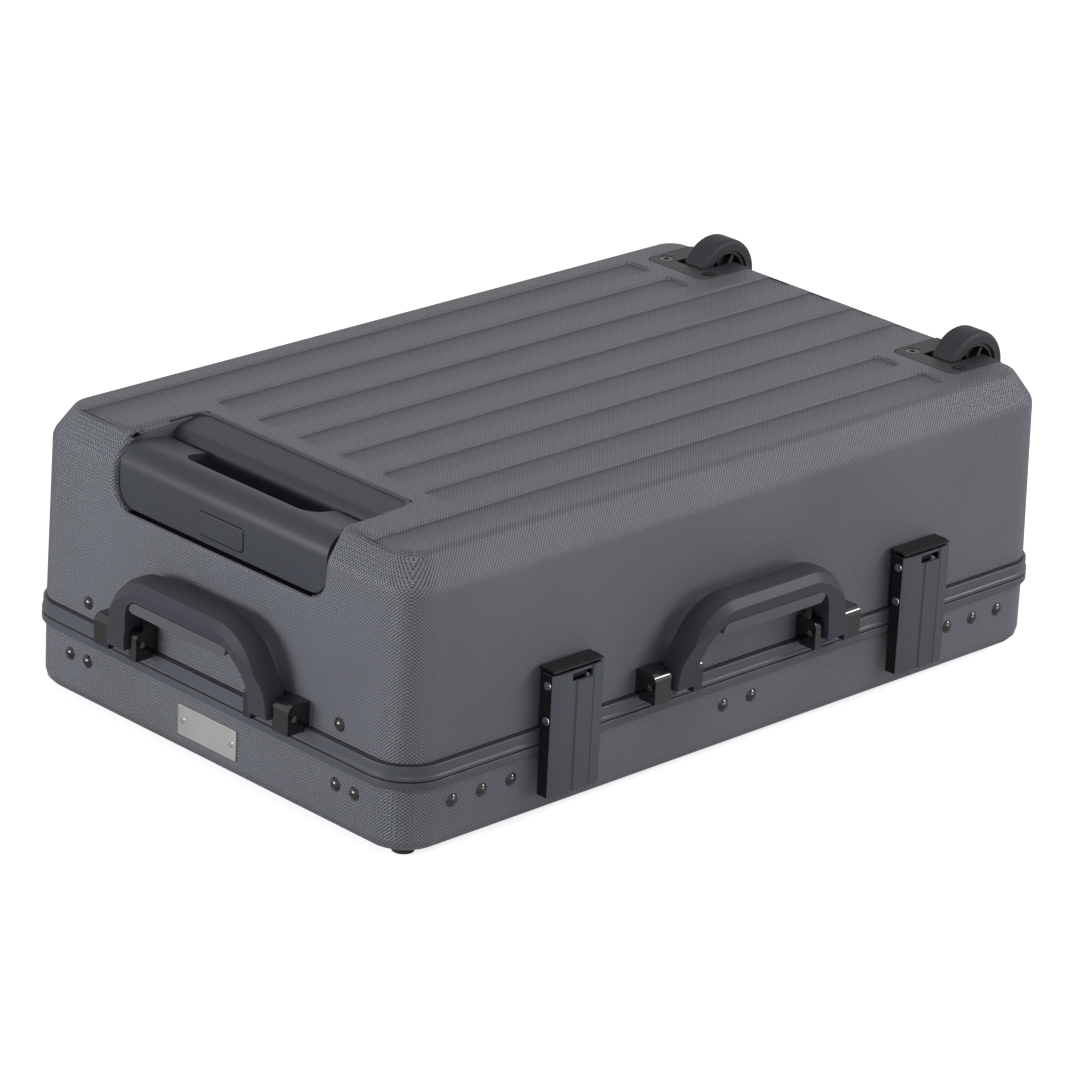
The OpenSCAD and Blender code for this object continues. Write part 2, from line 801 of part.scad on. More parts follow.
module grip_side_prism()
    rotate([90, 0, -90])
        translate([0, 0, -grip_half - 1])
            linear_extrude(2 * grip_half + 2)
                grip_side();

// The strip under the bar where the soft insert lies
module insert_outline()
    intersection() {
        difference() {
            offset(r = insert_t, $fn = 32) gap_outline();
            gap_outline();
        }
        translate([-arm_in, grip_gap_z - 3]) square([2 * arm_in, 3 + insert_t + 2]);
    }

module upright() rotate([90, 0, 0]) translate([0, 0, -5]) linear_extrude(grip_out + 10) children();

module handle_grip() color(band_colour)
    difference() {
        intersection() {
            grip_side_prism();
            upright() difference() {
                grip_outline();
                gap_outline();
                insert_outline();
            }
        }
        pin_x(-grip_half - 5, grip_half + 5, grip_pin_out, grip_pin_z, grip_pin_d + 2 * run);
    }

module handle_insert() color(trim_colour)
    intersection() {
        grip_side_prism();
        upright() insert_outline();
    }

module handle_brackets() color(black)
    for (e = [-1, 1])
        mirror([e > 0 ? 0 : 1, 0, 0])
            difference() {
                u_in = arm_in - foot_gap;
                u_out = grip_half + foot_gap;
                union() {
                    block(u_in - inner_lug, u_out + outer_lug, wall_gap - lid_inset, near,
                          lid_shell_z + near, lug_top_z - 1);
                    lug(u_in - inner_lug, u_in);
                    lug(u_out, u_out + outer_lug);
                }
                pin_x(0, 2 * grip_half, grip_pin_out, grip_pin_z, grip_pin_d + 2 * seat);
            }

// A bracket's lug: upright, with its upper front corner round
module lug(u0, u1)
    translate([u0, 0, 0])
        rotate([90, 0, 90])
            linear_extrude(u1 - u0)
                union() {
                    translate([-lug_out + lug_r, lug_foot_z])
                        square([lug_out - lug_r - over_band, lug_h]);
                    translate([-lug_out, lug_foot_z])
                        square([lug_out - over_band, lug_h - lug_r]);
                    translate([-lug_out + lug_r, lug_top_z - lug_r])
                        circle(lug_r);
                }

module handle_pins() color(steel)
    for (e = [-1, 1])
        mirror([e > 0 ? 0 : 1, 0, 0])
            pin_x(arm_in - foot_gap - inner_lug + 0.5, grip_half + foot_gap + outer_lug - 0.5,
                  grip_pin_out, grip_pin_z, grip_pin_d);

// ---- trolley ----

nose_l = 9;
nose_h = 13;
nose_sink = 5;
floor_sink = 1.2;

// The open space over the cup's floor, as seen from the side: the floor rises over a round
// nose behind the fingers, and then gently up to the recess's back edge
module cup_air()
    polygon([
        [-case_l, lid_h - nose_sink - nose_h],
        for (a = [0:15:90])
            [pocket_back + nose_l * (1 - cos(a)), lid_h - nose_sink - nose_h * (1 - sin(a))],
        [recess_back - cup_wall, lid_h - floor_sink],
        [0, lid_h - floor_sink],
        [0, 2 * lid_h],
        [-case_l, 2 * lid_h]
    ]);

// A side outline drawn out to a width, across the case
module sideways(w) rotate([90, 0, 0]) translate([0, 0, -w / 2]) linear_extrude(w) children();

module trolley_cup() color(trim_colour)
    difference() {
        intersection() {
            lid_solid(rim_sink, lid_h - floor_sink / 2);
            recess_prism(cup_gap);
        }
        // pocket of the grip
        intersection() {
            translate([-case_l, -recess_w, 0])
                cube([case_l + pocket_back, 2 * recess_w, 2 * lid_h]);
            recess_prism(cup_gap + cup_wall);
        }
        // space above the floor
        intersection() {
            sideways(2 * recess_w) cup_air();
            recess_prism(cup_gap + cup_wall);
        }
        // hollow under the floor
        difference() {
            linear_extrude(lid_h)
                intersection() {
                    recess_plan(cup_gap + cup_wall);
                    translate([pocket_back + cup_wall, -recess_w])
                        square([recess_l, 2 * recess_w]);
                }
            sideways(2 * recess_w) offset(delta = cup_wall) cup_air();
        }
        for (s = [-1, 1])
            tube(s, tube_start - 1, recess_l, tube_w3 + 2 * seat, tube_h3 + 2 * seat, 0);
    }

// A rectangular tube along X, or a bar where wall is 0
module tube(s, x0, l, w, h, wall)
    translate([x0, s * tube_y, tube_z])
        rotate([90, 0, 90])
            linear_extrude(l)
                difference() {
                    round_rect(w, h, 1.5);
                    if (wall > 0)
                        round_rect(w - 2 * wall, h - 2 * wall, 1);
                }

bar_half = recess_w / 2 - cup_gap - cup_wall - bar_gap;
end_r = 3;

// The grip as seen from the side: flat face, round over the front, top falling to the back
module bar_side()
    hull() {
        translate([bar_face, bar_z]) square([bar_l, 1]);
        translate([bar_face + bar_round, bar_top - bar_round]) circle(bar_round);
        translate([bar_back - end_r, bar_back_top - end_r]) circle(end_r);
    }

// The grip as seen from the lid's end: round lower corners
module bar_front()
    union() {
        translate([-bar_half, bar_z + face_r]) square([2 * bar_half, bar_h]);
        translate([-bar_half + face_r, bar_z]) square([2 * bar_half - 2 * face_r, bar_h]);
        for (s = [-1, 1])
            translate([s * (bar_half - face_r), bar_z + face_r]) circle(face_r);
    }

module trolley_grip() color(trim_colour)
    difference() {
        intersection() {
            sideways(2 * bar_half) bar_side();
            translate([bar_face, 0, 0])
                rotate([90, 0, 90])
                    linear_extrude(bar_l)
                        bar_front();
        }
        // finger opening behind the bar
        translate([bar_face + bar_t + bar_l, 0, 0])
            linear_extrude(2 * lid_h)
                round_rect(2 * bar_l, slot_w, slot_r);
        // seat of the button
        translate([bar_face - 1, 0, button_z])
            rotate([90, 0, 90])
                linear_extrude(1 + button_depth + button_travel + 0.3)
                    round_rect(button_w + 2 * free, button_h + 2 * free, button_r + free);
        for (s = [-1, 1])
            tube(s, bar_back - socket_l - seat, socket_l + 1, tube_w + 2 * seat, tube_h + 2 * seat, 0);
    }

button_r = 3;

module trolley_button() color(trim_colour)
    translate([bar_face - button_out, 0, button_z])
        rotate([90, 0, 90])
            linear_extrude(button_depth + button_out)
                round_rect(button_w, button_h, button_r);

module trolley_inner_tubes() color(steel)
    for (s = [-1, 1])
        tube(s, bar_back - socket_l, tube_l - 2 * tube_step, tube_w, tube_h, tube_wall);

module trolley_middle_tubes() color(steel)
    for (s = [-1, 1])
        tube(s, tube_start, tube_l - tube_step, tube_w2, tube_h2, tube_wall);

module trolley_outer_tubes() color(steel)
    for (s = [-1, 1])
        tube(s, tube_start, tube_l, tube_w3, tube_h3, tube_wall);

clamp_z = tube_z - tube_h3 / 2 - 2.5;

module trolley_clamps() color(black)
    for (s = [-1, 1])
        difference() {
            translate([tube_start + tube_l - clamp_in - clamp_l,
                       s * tube_y - tube_w3 / 2 - clamp_wall, clamp_z])
                cube([clamp_l, tube_w3 + 2 * clamp_wall, lid_ceiling - wall_gap - clamp_z]);
            tube(s, tube_start, tube_l, tube_w3 + 2 * seat, tube_h3 + 2 * seat, 0);
        }

// ---- wheels ----

module wheel_at(s) translate([wheel_x, s * wheel_y, wheel_z]) rotate([90, 0, 0]) children();

// Tyre: a ring with round shoulders, turned about its axle
module wheel_tyre(s) color(rubber)
    wheel_at(s)
        rotate_extrude($fn = 96)
            intersection() {
                translate([hub_r, -wheel_w / 2]) square([wheel_r - hub_r, wheel_w]);
                union() {
                    square([2 * (wheel_r - tyre_round), wheel_w], center = true);
                    square([2 * wheel_r, wheel_w - 2 * tyre_round], center = true);
                    for (e = [-1, 1])
                        translate([wheel_r - tyre_round, e * (wheel_w / 2 - tyre_round)])
                            circle(tyre_round);
                }
            }

tyre_round = 4;

module wheel_hub(s) color(trim_colour)
    wheel_at(s)
        difference() {
            union() {
                difference() {
                    cylinder(r = hub_r - seat, h = wheel_w - 4, center = true, $fn = 96);
                    cylinder(r = hub_r - 2.5, h = wheel_w, center = true, $fn = 96);
                }
                cylinder(r = hub_r - 2, h = 3, center = true);
                cylinder(d = axle_d + 7, h = wheel_w, center = true);
                for (a = [0:60:300])
                    rotate([0, 0, a])
                        translate([axle_d / 2 + 2, -1.2, -wheel_w / 2 + 4])
                            cube([hub_r - axle_d / 2 - 3.2, 2.4, wheel_w - 8]);
            }
            cylinder(d = axle_d + 2 * run, h = 2 * wheel_w, center = true);
        }

module wheel_axle(s) color(steel)
    wheel_at(s)
        cylinder(d = axle_d, h = wheel_w + 2 * wheel_gap + 2 * cheek_t - 2, center = true);

module wheel_housing(s) color(black)
    difference() {
        intersection() {
            lid_solid(0, lid_h);
            housing_prism(s, cup_gap);
        }
        // slot of the wheel
        translate([wheel_x - wheel_r - wheel_gap, s * wheel_y - wheel_w / 2 - wheel_gap,
                   wheel_z - wheel_r - wheel_gap + 0.5])
            cube([2 * wheel_r + 40, wheel_w + 2 * wheel_gap, lid_h]);
        // hollows beside the cheeks
        for (e = [-1, 1])
            translate([screw_x + 8, s * wheel_y + e * hollow_mid - hollow_w / 2, 0])
                cube([wheel_x - screw_x - 8, hollow_w, lid_h - 3]);
        wheel_at(s) cylinder(d = axle_d + 2 * seat, h = wheel_w + 2 * wheel_gap + 2 * cheek_t,
                             center = true);
        housing_screws(s, seat);
    }

hollow_in = wheel_w / 2 + wheel_gap + cheek_t;
hollow_out = housing_w / 2 - cup_gap - cup_wall;
hollow_w = hollow_out - hollow_in;
hollow_mid = (hollow_out + hollow_in) / 2;

module housing_screws(s, gap)
    for (e = [-1, 1])
        translate([screw_x, s * wheel_y + e * screw_dy, lid_h]) {
            translate([0, 0, -3]) cylinder(d = 11 + 2 * gap, h = gap > 0 ? 5 : 2.5);
            translate([0, 0, -20 - gap]) cylinder(d = 4 + 2 * gap, h = 18);
        }

module wheel_screws(s) color(steel)
    difference() {
        housing_screws(s, 0);
        for (e = [-1, 1])
            translate([screw_x, s * wheel_y + e * screw_dy, lid_h - 2])
                cylinder(d = 4.6, h = 3, $fn = 6);
    }

// ---- inside ----

tray_floor = -tray_h + shell_wall;
deck_z = tray_floor + bearer_h;
bearer_end = 40;
deck_inset = tray_inset + shell_wall + band_lip + 3.5;

module deck_bearers() color(silver)
    for (s = [-1, 1])
        difference() {
            translate([bearer_end - case_l / 2, s * bearer_y - bearer_w / 2, tray_floor])
                cube([case_l - 2 * bearer_end, bearer_w, bearer_h]);
            translate([-case_l / 2, s * bearer_y - bearer_w / 2 + bearer_wall, tray_floor - 1])
                cube([case_l, bearer_w - 2 * bearer_wall, bearer_h - bearer_wall + 1]);
        }

module deck_panel() color([0.55, 0.45, 0.33])
    translate([0, 0, deck_z])
        slab(case_l - 2 * deck_inset, case_w - 2 * deck_inset, corner_r - 14, deck_t);

module deck_cover() color([0.10, 0.10, 0.11])
    translate([0, 0, deck_z + deck_t])
        slab(case_l - 2 * deck_inset, case_w - 2 * deck_inset, corner_r - 14, cover_t);

panel_z = recess_z + cup_gap - 0.6 - panel_t;
panel_in = lid_in(panel_z + panel_t) + shell_wall + 0.3;

module lid_panel() color(black)
    translate([0, 0, panel_z])
        slab(case_l - 2 * panel_in, case_w - 2 * panel_in, lid_shell_r - shell_wall, panel_t);

module lid_foam() color([0.16, 0.16, 0.17])
    translate([0, 0, panel_z - foam_t])
        slab(case_l - 2 * panel_in - 2, case_w - 2 * panel_in - 2, lid_shell_r - shell_wall - 1, foam_t);

// ---- drawing ----

place() tray_shell();
place() tray_frame();
place() tray_seal();
place() feet();
place() bare_plate();
place() plate_screws();
place() tray_rivets();
place() lid_shell();
place() lid_frame();
place() lid_seal();
place() lid_rivets();
place() hinge_tray_leaves();
place() hinge_lid_leaves();
place() hinge_pins();
place() latch_base(-1);  // latch_left_base
place() latch_flap(-1);  // latch_left_flap
place() latch_trigger(-1);  // latch_left_trigger
place() latch_pivots(-1);  // latch_left_pivots
place() latch_trigger_pin(-1);  // latch_left_trigger_pin
place() latch_keeper(-1);  // latch_left_keeper
place() latch_base(1);  // latch_right_base
place() latch_flap(1);  // latch_right_flap
place() latch_trigger(1);  // latch_right_trigger
place() latch_pivots(1);  // latch_right_pivots
place() latch_trigger_pin(1);  // latch_right_trigger_pin
place() latch_keeper(1);  // latch_right_keeper
place() front_at(0) handle_grip();  // front_handle_grip
place() front_at(0) handle_insert();  // front_handle_insert
place() front_at(0) handle_brackets();  // front_handle_brackets
place() front_at(0) handle_pins();  // front_handle_pins
place() end_at(0) handle_grip();  // end_handle_grip
place() end_at(0) handle_insert();  // end_handle_insert
place() end_at(0) handle_brackets();  // end_handle_brackets
place() end_at(0) handle_pins();  // end_handle_pins
place() trolley_cup();
place() trolley_grip();
place() trolley_button();
place() trolley_inner_tubes();
place() trolley_middle_tubes();
place() trolley_outer_tubes();
place() trolley_clamps();
place() wheel_hub(-1);  // wheel_left_hub
place() wheel_tyre(-1);  // wheel_left_tyre
place() wheel_axle(-1);  // wheel_left_axle
place() wheel_housing(-1);  // wheel_left_housing
place() wheel_screws(-1);  // wheel_left_screws
place() wheel_hub(1);  // wheel_right_hub
place() wheel_tyre(1);  // wheel_right_tyre
place() wheel_axle(1);  // wheel_right_axle
place() wheel_housing(1);  // wheel_right_housing
place() wheel_screws(1);  // wheel_right_screws
place() deck_panel();
place() deck_cover();
place() deck_bearers();
place() lid_panel();
place() lid_foam();
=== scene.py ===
# %% [markdown]
# # A hard case for guitar pedals
#
# The engineering model comes first and stays as it is: it gives every piece its place and
# its real size. This script gives each piece its finish, and models again, over the same
# places, the pieces whose soft edges and curves make the case look like the real one.

# %% Load the engineering model
import json
import math
import bmesh
import bpy
from mathutils import Matrix, Vector


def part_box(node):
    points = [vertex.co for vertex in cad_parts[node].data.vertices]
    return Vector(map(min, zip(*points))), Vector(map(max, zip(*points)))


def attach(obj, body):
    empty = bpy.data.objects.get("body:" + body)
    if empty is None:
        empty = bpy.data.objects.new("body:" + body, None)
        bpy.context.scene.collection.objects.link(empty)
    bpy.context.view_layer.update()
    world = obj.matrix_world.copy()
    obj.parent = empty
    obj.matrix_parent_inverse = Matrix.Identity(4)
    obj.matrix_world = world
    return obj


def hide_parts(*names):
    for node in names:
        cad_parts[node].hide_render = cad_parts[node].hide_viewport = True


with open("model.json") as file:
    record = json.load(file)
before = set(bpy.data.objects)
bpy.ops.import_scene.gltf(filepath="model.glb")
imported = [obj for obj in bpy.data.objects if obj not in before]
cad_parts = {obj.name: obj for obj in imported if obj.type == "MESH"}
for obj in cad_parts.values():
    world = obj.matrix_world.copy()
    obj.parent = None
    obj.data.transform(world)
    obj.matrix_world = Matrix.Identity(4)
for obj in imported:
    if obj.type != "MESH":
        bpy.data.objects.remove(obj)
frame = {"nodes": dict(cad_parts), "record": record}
bodies = frame["record"]["behaviour"]["bodies"]
body_of = {node: body for body, nodes in bodies.items() for node in nodes}
slot_of = {row["node"]: row["material_slot"] for row in frame["record"]["subparts"]}
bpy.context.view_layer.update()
print("pieces in the model:", len(frame["nodes"]))

# %% [markdown]
# Blender works in metres and this case was measured in millimetres, so one small value turns
# one into the other. The case's own middle isn't the origin, because the origin stands under
# the middle of everything, handles and wheels included. The band round the case gives its
# middle, its length, its width and the height at which it opens.

# %% Measures taken from the model
MM = 0.001
band_low, band_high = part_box("tray_frame")
MIDDLE = (band_low + band_high) / 2
LENGTH = band_high.x - band_low.x
WIDTH = band_high.y - band_low.y
PARTING = band_high.z + 0.5 * MM


def at(x, y, z):
    """A point in metres, from millimetres about the case's middle at the parting plane."""
    return Vector((MIDDLE.x + x * MM, MIDDLE.y + y * MM, PARTING + z * MM))


print("band", round(LENGTH, 3), "by", round(WIDTH, 3), "parting plane", round(PARTING, 4))

# %% [markdown]
# The camera stands where the photographer's did: far away, with a long lens, so that parallel
# edges hardly converge. Its place is given from the case's middle, and its aim by three
# turns, which are easier to read than a matrix: how far it is turned to the side, how far it
# looks down, and the little roll that tips the horizon.

# %% Camera
CAMERA_PLACE = (-2513.4, -2533.2, 1466.3)
CAMERA_TURN = math.radians(-44.703)
CAMERA_DOWN = math.radians(21.837)
CAMERA_ROLL = math.radians(2.877)
LENS = 177.9
SENSOR = 36.0

camera_data = bpy.data.cameras.new("camera")
camera_data.lens = LENS
camera_data.sensor_width = SENSOR
camera_data.sensor_fit = "HORIZONTAL"
camera_data.clip_end = 30.0
camera = bpy.data.objects.new("camera", camera_data)
bpy.context.scene.collection.objects.link(camera)
aim = (Matrix.Rotation(CAMERA_TURN, 4, "Z")
       @ Matrix.Rotation(math.pi / 2 - CAMERA_DOWN, 4, "X")
       @ Matrix.Rotation(CAMERA_ROLL, 4, "Z"))
camera.matrix_world = Matrix.Translation(at(*CAMERA_PLACE)) @ aim
bpy.context.scene.camera = camera
bpy.context.scene.view_settings.view_transform = "Standard"

# %% [markdown]
# ## Light and floor
#
# The photograph has a plain white ground and broad, soft light that comes in low from the
# left and from the right, so that both walls are brighter than the ribbed top. Two low lamps
# stand for it, and two higher ones put a sheen on the shoulder and on the near corner. The
# world gives a weak, even light. What the camera and the glossy pieces see of it is white all
# the same, which the light path decides.

# %% World, lamps and floor
WORLD_LIGHT = 0.12
world = bpy.data.worlds.new("studio")
bpy.context.scene.world = world
world.use_nodes = True
wn, wl = world.node_tree.nodes, world.node_tree.links
wn.clear()
world_out = wn.new("ShaderNodeOutputWorld")
dim = wn.new("ShaderNodeBackground")
dim.inputs["Strength"].default_value = WORLD_LIGHT
white = wn.new("ShaderNodeBackground")
white.inputs["Strength"].default_value = 1.0
path = wn.new("ShaderNodeLightPath")
sees_white = wn.new("ShaderNodeMath")
sees_white.operation = "ADD"
sees_white.use_clamp = True
through = wn.new("ShaderNodeMath")
through.operation = "ADD"
wl.new(path.outputs["Is Glossy Ray"], through.inputs[0])
wl.new(path.outputs["Is Transmission Ray"], through.inputs[1])
wl.new(path.outputs["Is Camera Ray"], sees_white.inputs[0])
wl.new(through.outputs[0], sees_white.inputs[1])
pick_white = wn.new("ShaderNodeMixShader")
wl.new(sees_white.outputs[0], pick_white.inputs["Fac"])
wl.new(dim.outputs[0], pick_white.inputs[1])
wl.new(white.outputs[0], pick_white.inputs[2])
wl.new(pick_white.outputs[0], world_out.inputs["Surface"])


def soft_lamp(name, place, target, width, height, watts):
    """A broad area lamp at one point, aimed at another."""
    data = bpy.data.lights.new(name, "AREA")
    data.shape = "RECTANGLE"
    data.size = width
    data.size_y = height
    data.energy = watts
    lamp = bpy.data.objects.new(name, data)
    bpy.context.scene.collection.objects.link(lamp)
    lamp.location = place
    lamp.rotation_euler = (Vector(target) - Vector(place)).to_track_quat("-Z", "Y").to_euler()
    return lamp


# Each lamp: its name, its place, its width and height in metres, and its watts
LAMPS = [
    ("lamp_front", (1.1, -2.6, 0.5), 1.4, 0.7, 17),
    ("lamp_end", (-2.7, 0.9, 0.5), 1.4, 0.8, 48),
    ("lamp_shoulder", (2.0, -1.8, 1.6), 1.2, 0.5, 34),
    ("lamp_corner", (-1.7, -1.7, 2.5), 0.7, 0.7, 24),
]
LAMP_TARGET = (0.0, 0.0, 0.1)
for lamp_name, place, wide, high, watts in LAMPS:
    soft_lamp(lamp_name, place, LAMP_TARGET, wide, high, watts)

FLOOR_SIZE = 14.0
FLOOR_LEVEL = -0.0005
FLOOR_SHADE = 0.92
FLOOR_GLOW = 0.8
bpy.ops.object.select_all(action="DESELECT")
bpy.ops.mesh.primitive_plane_add(size=FLOOR_SIZE, location=(0, 0, FLOOR_LEVEL))
floor = bpy.context.object
floor.name = "floor"
floor_material = bpy.data.materials.new("floor_white")
floor_material.use_nodes = True
fn, fl = floor_material.node_tree.nodes, floor_material.node_tree.links
floor_bsdf = fn["Principled BSDF"]
floor_bsdf.inputs["Base Color"].default_value = (FLOOR_SHADE, FLOOR_SHADE, FLOOR_SHADE, 1)
floor_bsdf.inputs["Roughness"].default_value = 0.9
floor_bsdf.inputs["Specular IOR Level"].default_value = 0.0
glow = fn.new("ShaderNodeEmission")
glow.inputs["Color"].default_value = (1, 1, 1, 1)
glow.inputs["Strength"].default_value = FLOOR_GLOW
floor_add = fn.new("ShaderNodeAddShader")
floor_path = fn.new("ShaderNodeLightPath")
floor_mix = fn.new("ShaderNodeMixShader")
fl.new(floor_bsdf.outputs[0], floor_add.inputs[0])
fl.new(glow.outputs[0], floor_add.inputs[1])
fl.new(floor_path.outputs["Is Camera Ray"], floor_mix.inputs["Fac"])
fl.new(floor_bsdf.outputs[0], floor_mix.inputs[1])
fl.new(floor_add.outputs[0], floor_mix.inputs[2])
fl.new(floor_mix.outputs[0], fn["Material Output"].inputs["Surface"])
floor.data.materials.append(floor_material)

# %% [markdown]
# ## Finishes
#
# Effects that several finishes share are node groups with named sockets. A group could be
# wired by hand in the shader editor. Here two small helpers do it: one makes a group with its
# sockets, and one adds a maths node, so that a formula reads as a formula.

# %% Node group helpers


def new_group(name, inputs, outputs):
    """A shader node group with its sockets, given as (name, kind, default)."""
    group = bpy.data.node_groups.new(name, "ShaderNodeTree")
    for label, kind, default in inputs:
        socket = group.interface.new_socket(label, in_out="INPUT", socket_type=kind)
        if default is not None:
            socket.default_value = default
    for label, kind in outputs:
        group.interface.new_socket(label, in_out="OUTPUT", socket_type=kind)
    source = group.nodes.new("NodeGroupInput")
    sink = group.nodes.new("NodeGroupOutput")
    return group, source, sink


def math_node(tree, operation, a, b=None, c=None):
    """A maths node whose inputs are sockets or plain numbers; returns its output."""
    node = tree.nodes.new("ShaderNodeMath")
    node.operation = operation
    for slot, value in enumerate((a, b, c)):
        if value is None:
            continue
        if isinstance(value, (int, float)):
            node.inputs[slot].default_value = value
        else:
            tree.links.new(value, node.inputs[slot])
    return node.outputs[0]


# %% [markdown]
# The first group is the fine woven emboss of the two shells: two sets of threads cross at 45
# degrees, and each passes over the other in turn. It reads the piece's own unwrapped
# coordinates, in metres, so the threads follow every wall. It also gives a mask of the gaps
# between the threads, where painted shade darkens the colour. The second is the faint grain of
# every moulded and painted piece, which reads the place on the object.

# %% Woven emboss and grain


def make_weave_group():
    """Height of a plain weave whose threads lie at 45 degrees, and a mask of its gaps for painted
    shade.
    """
    group, source, sink = new_group(
        "woven_emboss",
        [("Vector", "NodeSocketVector", None), ("Pitch", "NodeSocketFloat", 0.0016)],
        [("Height", "NodeSocketFloat"), ("Gap", "NodeSocketFloat")])
    split = group.nodes.new("ShaderNodeSeparateXYZ")
    group.links.new(source.outputs["Vector"], split.inputs[0])
    u, v = split.outputs[0], split.outputs[1]
    turn = math.pi / math.sqrt(2)
    along = math_node(group, "MULTIPLY", math_node(group, "ADD", u, v), turn)
    across = math_node(group, "MULTIPLY", math_node(group, "SUBTRACT", u, v), turn)
    p = math_node(group, "DIVIDE", along, source.outputs["Pitch"])
    q = math_node(group, "DIVIDE", across, source.outputs["Pitch"])
    warp = math_node(group, "ABSOLUTE", math_node(group, "SINE", p))
    weft = math_node(group, "ABSOLUTE", math_node(group, "SINE", q))
    over = math_node(group, "MULTIPLY", math_node(group, "COSINE", p),
                     math_node(group, "COSINE", q))
    lift = math_node(group, "MULTIPLY_ADD", over, 0.5, 0.5)
    high = math_node(group, "MULTIPLY", warp, lift)
    low = math_node(group, "MULTIPLY", weft, math_node(group, "SUBTRACT", 1.0, lift))
    height = math_node(group, "MAXIMUM", high, low)
    gap = math_node(group, "SUBTRACT", 1.0, math_node(group, "MULTIPLY", warp, weft))
    group.links.new(height, sink.inputs["Height"])
    group.links.new(math_node(group, "POWER", gap, 1.6), sink.inputs["Gap"])
    return group


def make_grain_group():
    """Fine moulded grain: a height, and a mask for slow changes of shade and gloss."""
    group, source, sink = new_group(
        "fine_grain",
        [("Grain", "NodeSocketFloat", 900.0), ("Patches", "NodeSocketFloat", 9.0)],
        [("Height", "NodeSocketFloat"), ("Mask", "NodeSocketFloat")])
    coords = group.nodes.new("ShaderNodeTexCoord")
    for scale, output in (("Grain", "Height"), ("Patches", "Mask")):
        noise = group.nodes.new("ShaderNodeTexNoise")
        noise.inputs["Detail"].default_value = 3.0
        group.links.new(coords.outputs["Object"], noise.inputs["Vector"])
        group.links.new(source.outputs[scale], noise.inputs["Scale"])
        group.links.new(noise.outputs["Fac"], sink.inputs[output])
    return group


weave_group = make_weave_group()
grain_group = make_grain_group()

# %% [markdown]
# Each finish is one material. The helper below makes the part that they share: a Principled
# shader whose colour drifts a little between two close shades, whose roughness drifts with
# it, and whose grain is a faint bump. A single flat colour never looks moulded or painted.

# %% Material helper


def finish(name, colour, roughness, drift=0.08, grain=900.0, grain_depth=0.00002, metallic=0.0,
           specular=0.5, coat=0.0):
    """A Principled material with drifting shade and gloss and a fine grain; returns it."""
    material = bpy.data.materials.new(name)
    material.use_nodes = True
    tree = material.node_tree
    bsdf = tree.nodes["Principled BSDF"]
    bsdf.inputs["Metallic"].default_value = metallic
    bsdf.inputs["Specular IOR Level"].default_value = specular
    bsdf.inputs["Coat Weight"].default_value = coat
    bsdf.inputs["Coat Roughness"].default_value = 0.08
    texture = tree.nodes.new("ShaderNodeGroup")
    texture.node_tree = grain_group
    texture.name = "grain"
    texture.inputs["Grain"].default_value = grain
    shade = tree.nodes.new("ShaderNodeValToRGB")
    shade.name = "shade"
    dark = [c * (1 - drift) for c in colour]
    light = [min(1.0, c * (1 + drift)) for c in colour]
    shade.color_ramp.elements[0].position = 0.3
    shade.color_ramp.elements[1].position = 0.7
    shade.color_ramp.elements[0].color = (*dark, 1)
    shade.color_ramp.elements[1].color = (*light, 1)
    tree.links.new(texture.outputs["Mask"], shade.inputs["Fac"])
    tree.links.new(shade.outputs["Color"], bsdf.inputs["Base Color"])
    gloss = math_node(tree, "MULTIPLY_ADD", texture.outputs["Mask"], 0.12, roughness - 0.06)
    tree.links.new(gloss, bsdf.inputs["Roughness"])
    bump = tree.nodes.new("ShaderNodeBump")
    bump.name = "bump"
    bump.inputs["Strength"].default_value = 1.0
    bump.inputs["Distance"].default_value = grain_depth
    tree.links.new(texture.outputs["Height"], bump.inputs["Height"])
    tree.links.new(bump.outputs["Normal"], bsdf.inputs["Normal"])
    return material


def add_weave(material, pitch, depth, painted_gap_shade):
    """Lays the woven emboss over a finish: a bump, and painted shade that darkens the gaps between
    the threads.
    """
    tree = material.node_tree
    bsdf = tree.nodes["Principled BSDF"]
    coords = tree.nodes.new("ShaderNodeTexCoord")
    weave = tree.nodes.new("ShaderNodeGroup")
    weave.node_tree = weave_group
    weave.inputs["Pitch"].default_value = pitch
    tree.links.new(coords.outputs["UV"], weave.inputs["Vector"])
    bump = tree.nodes.new("ShaderNodeBump")
    bump.inputs["Distance"].default_value = depth
    tree.links.new(weave.outputs["Height"], bump.inputs["Height"])
    tree.links.new(tree.nodes["bump"].outputs["Normal"], bump.inputs["Normal"])
    tree.links.new(bump.outputs["Normal"], bsdf.inputs["Normal"])
    # Painted shade: the colour is darkened in the gaps between the threads.
    mix = tree.nodes.new("ShaderNodeMix")
    mix.data_type = "RGBA"
    mix.blend_type = "MULTIPLY"
    mix.inputs["B"].default_value = (painted_gap_shade, painted_gap_shade, painted_gap_shade, 1)
    tree.links.new(weave.outputs["Gap"], mix.inputs["Factor"])
    tree.links.new(tree.nodes["shade"].outputs["Color"], mix.inputs["A"])
    tree.links.new(mix.outputs["Result"], bsdf.inputs["Base Color"])
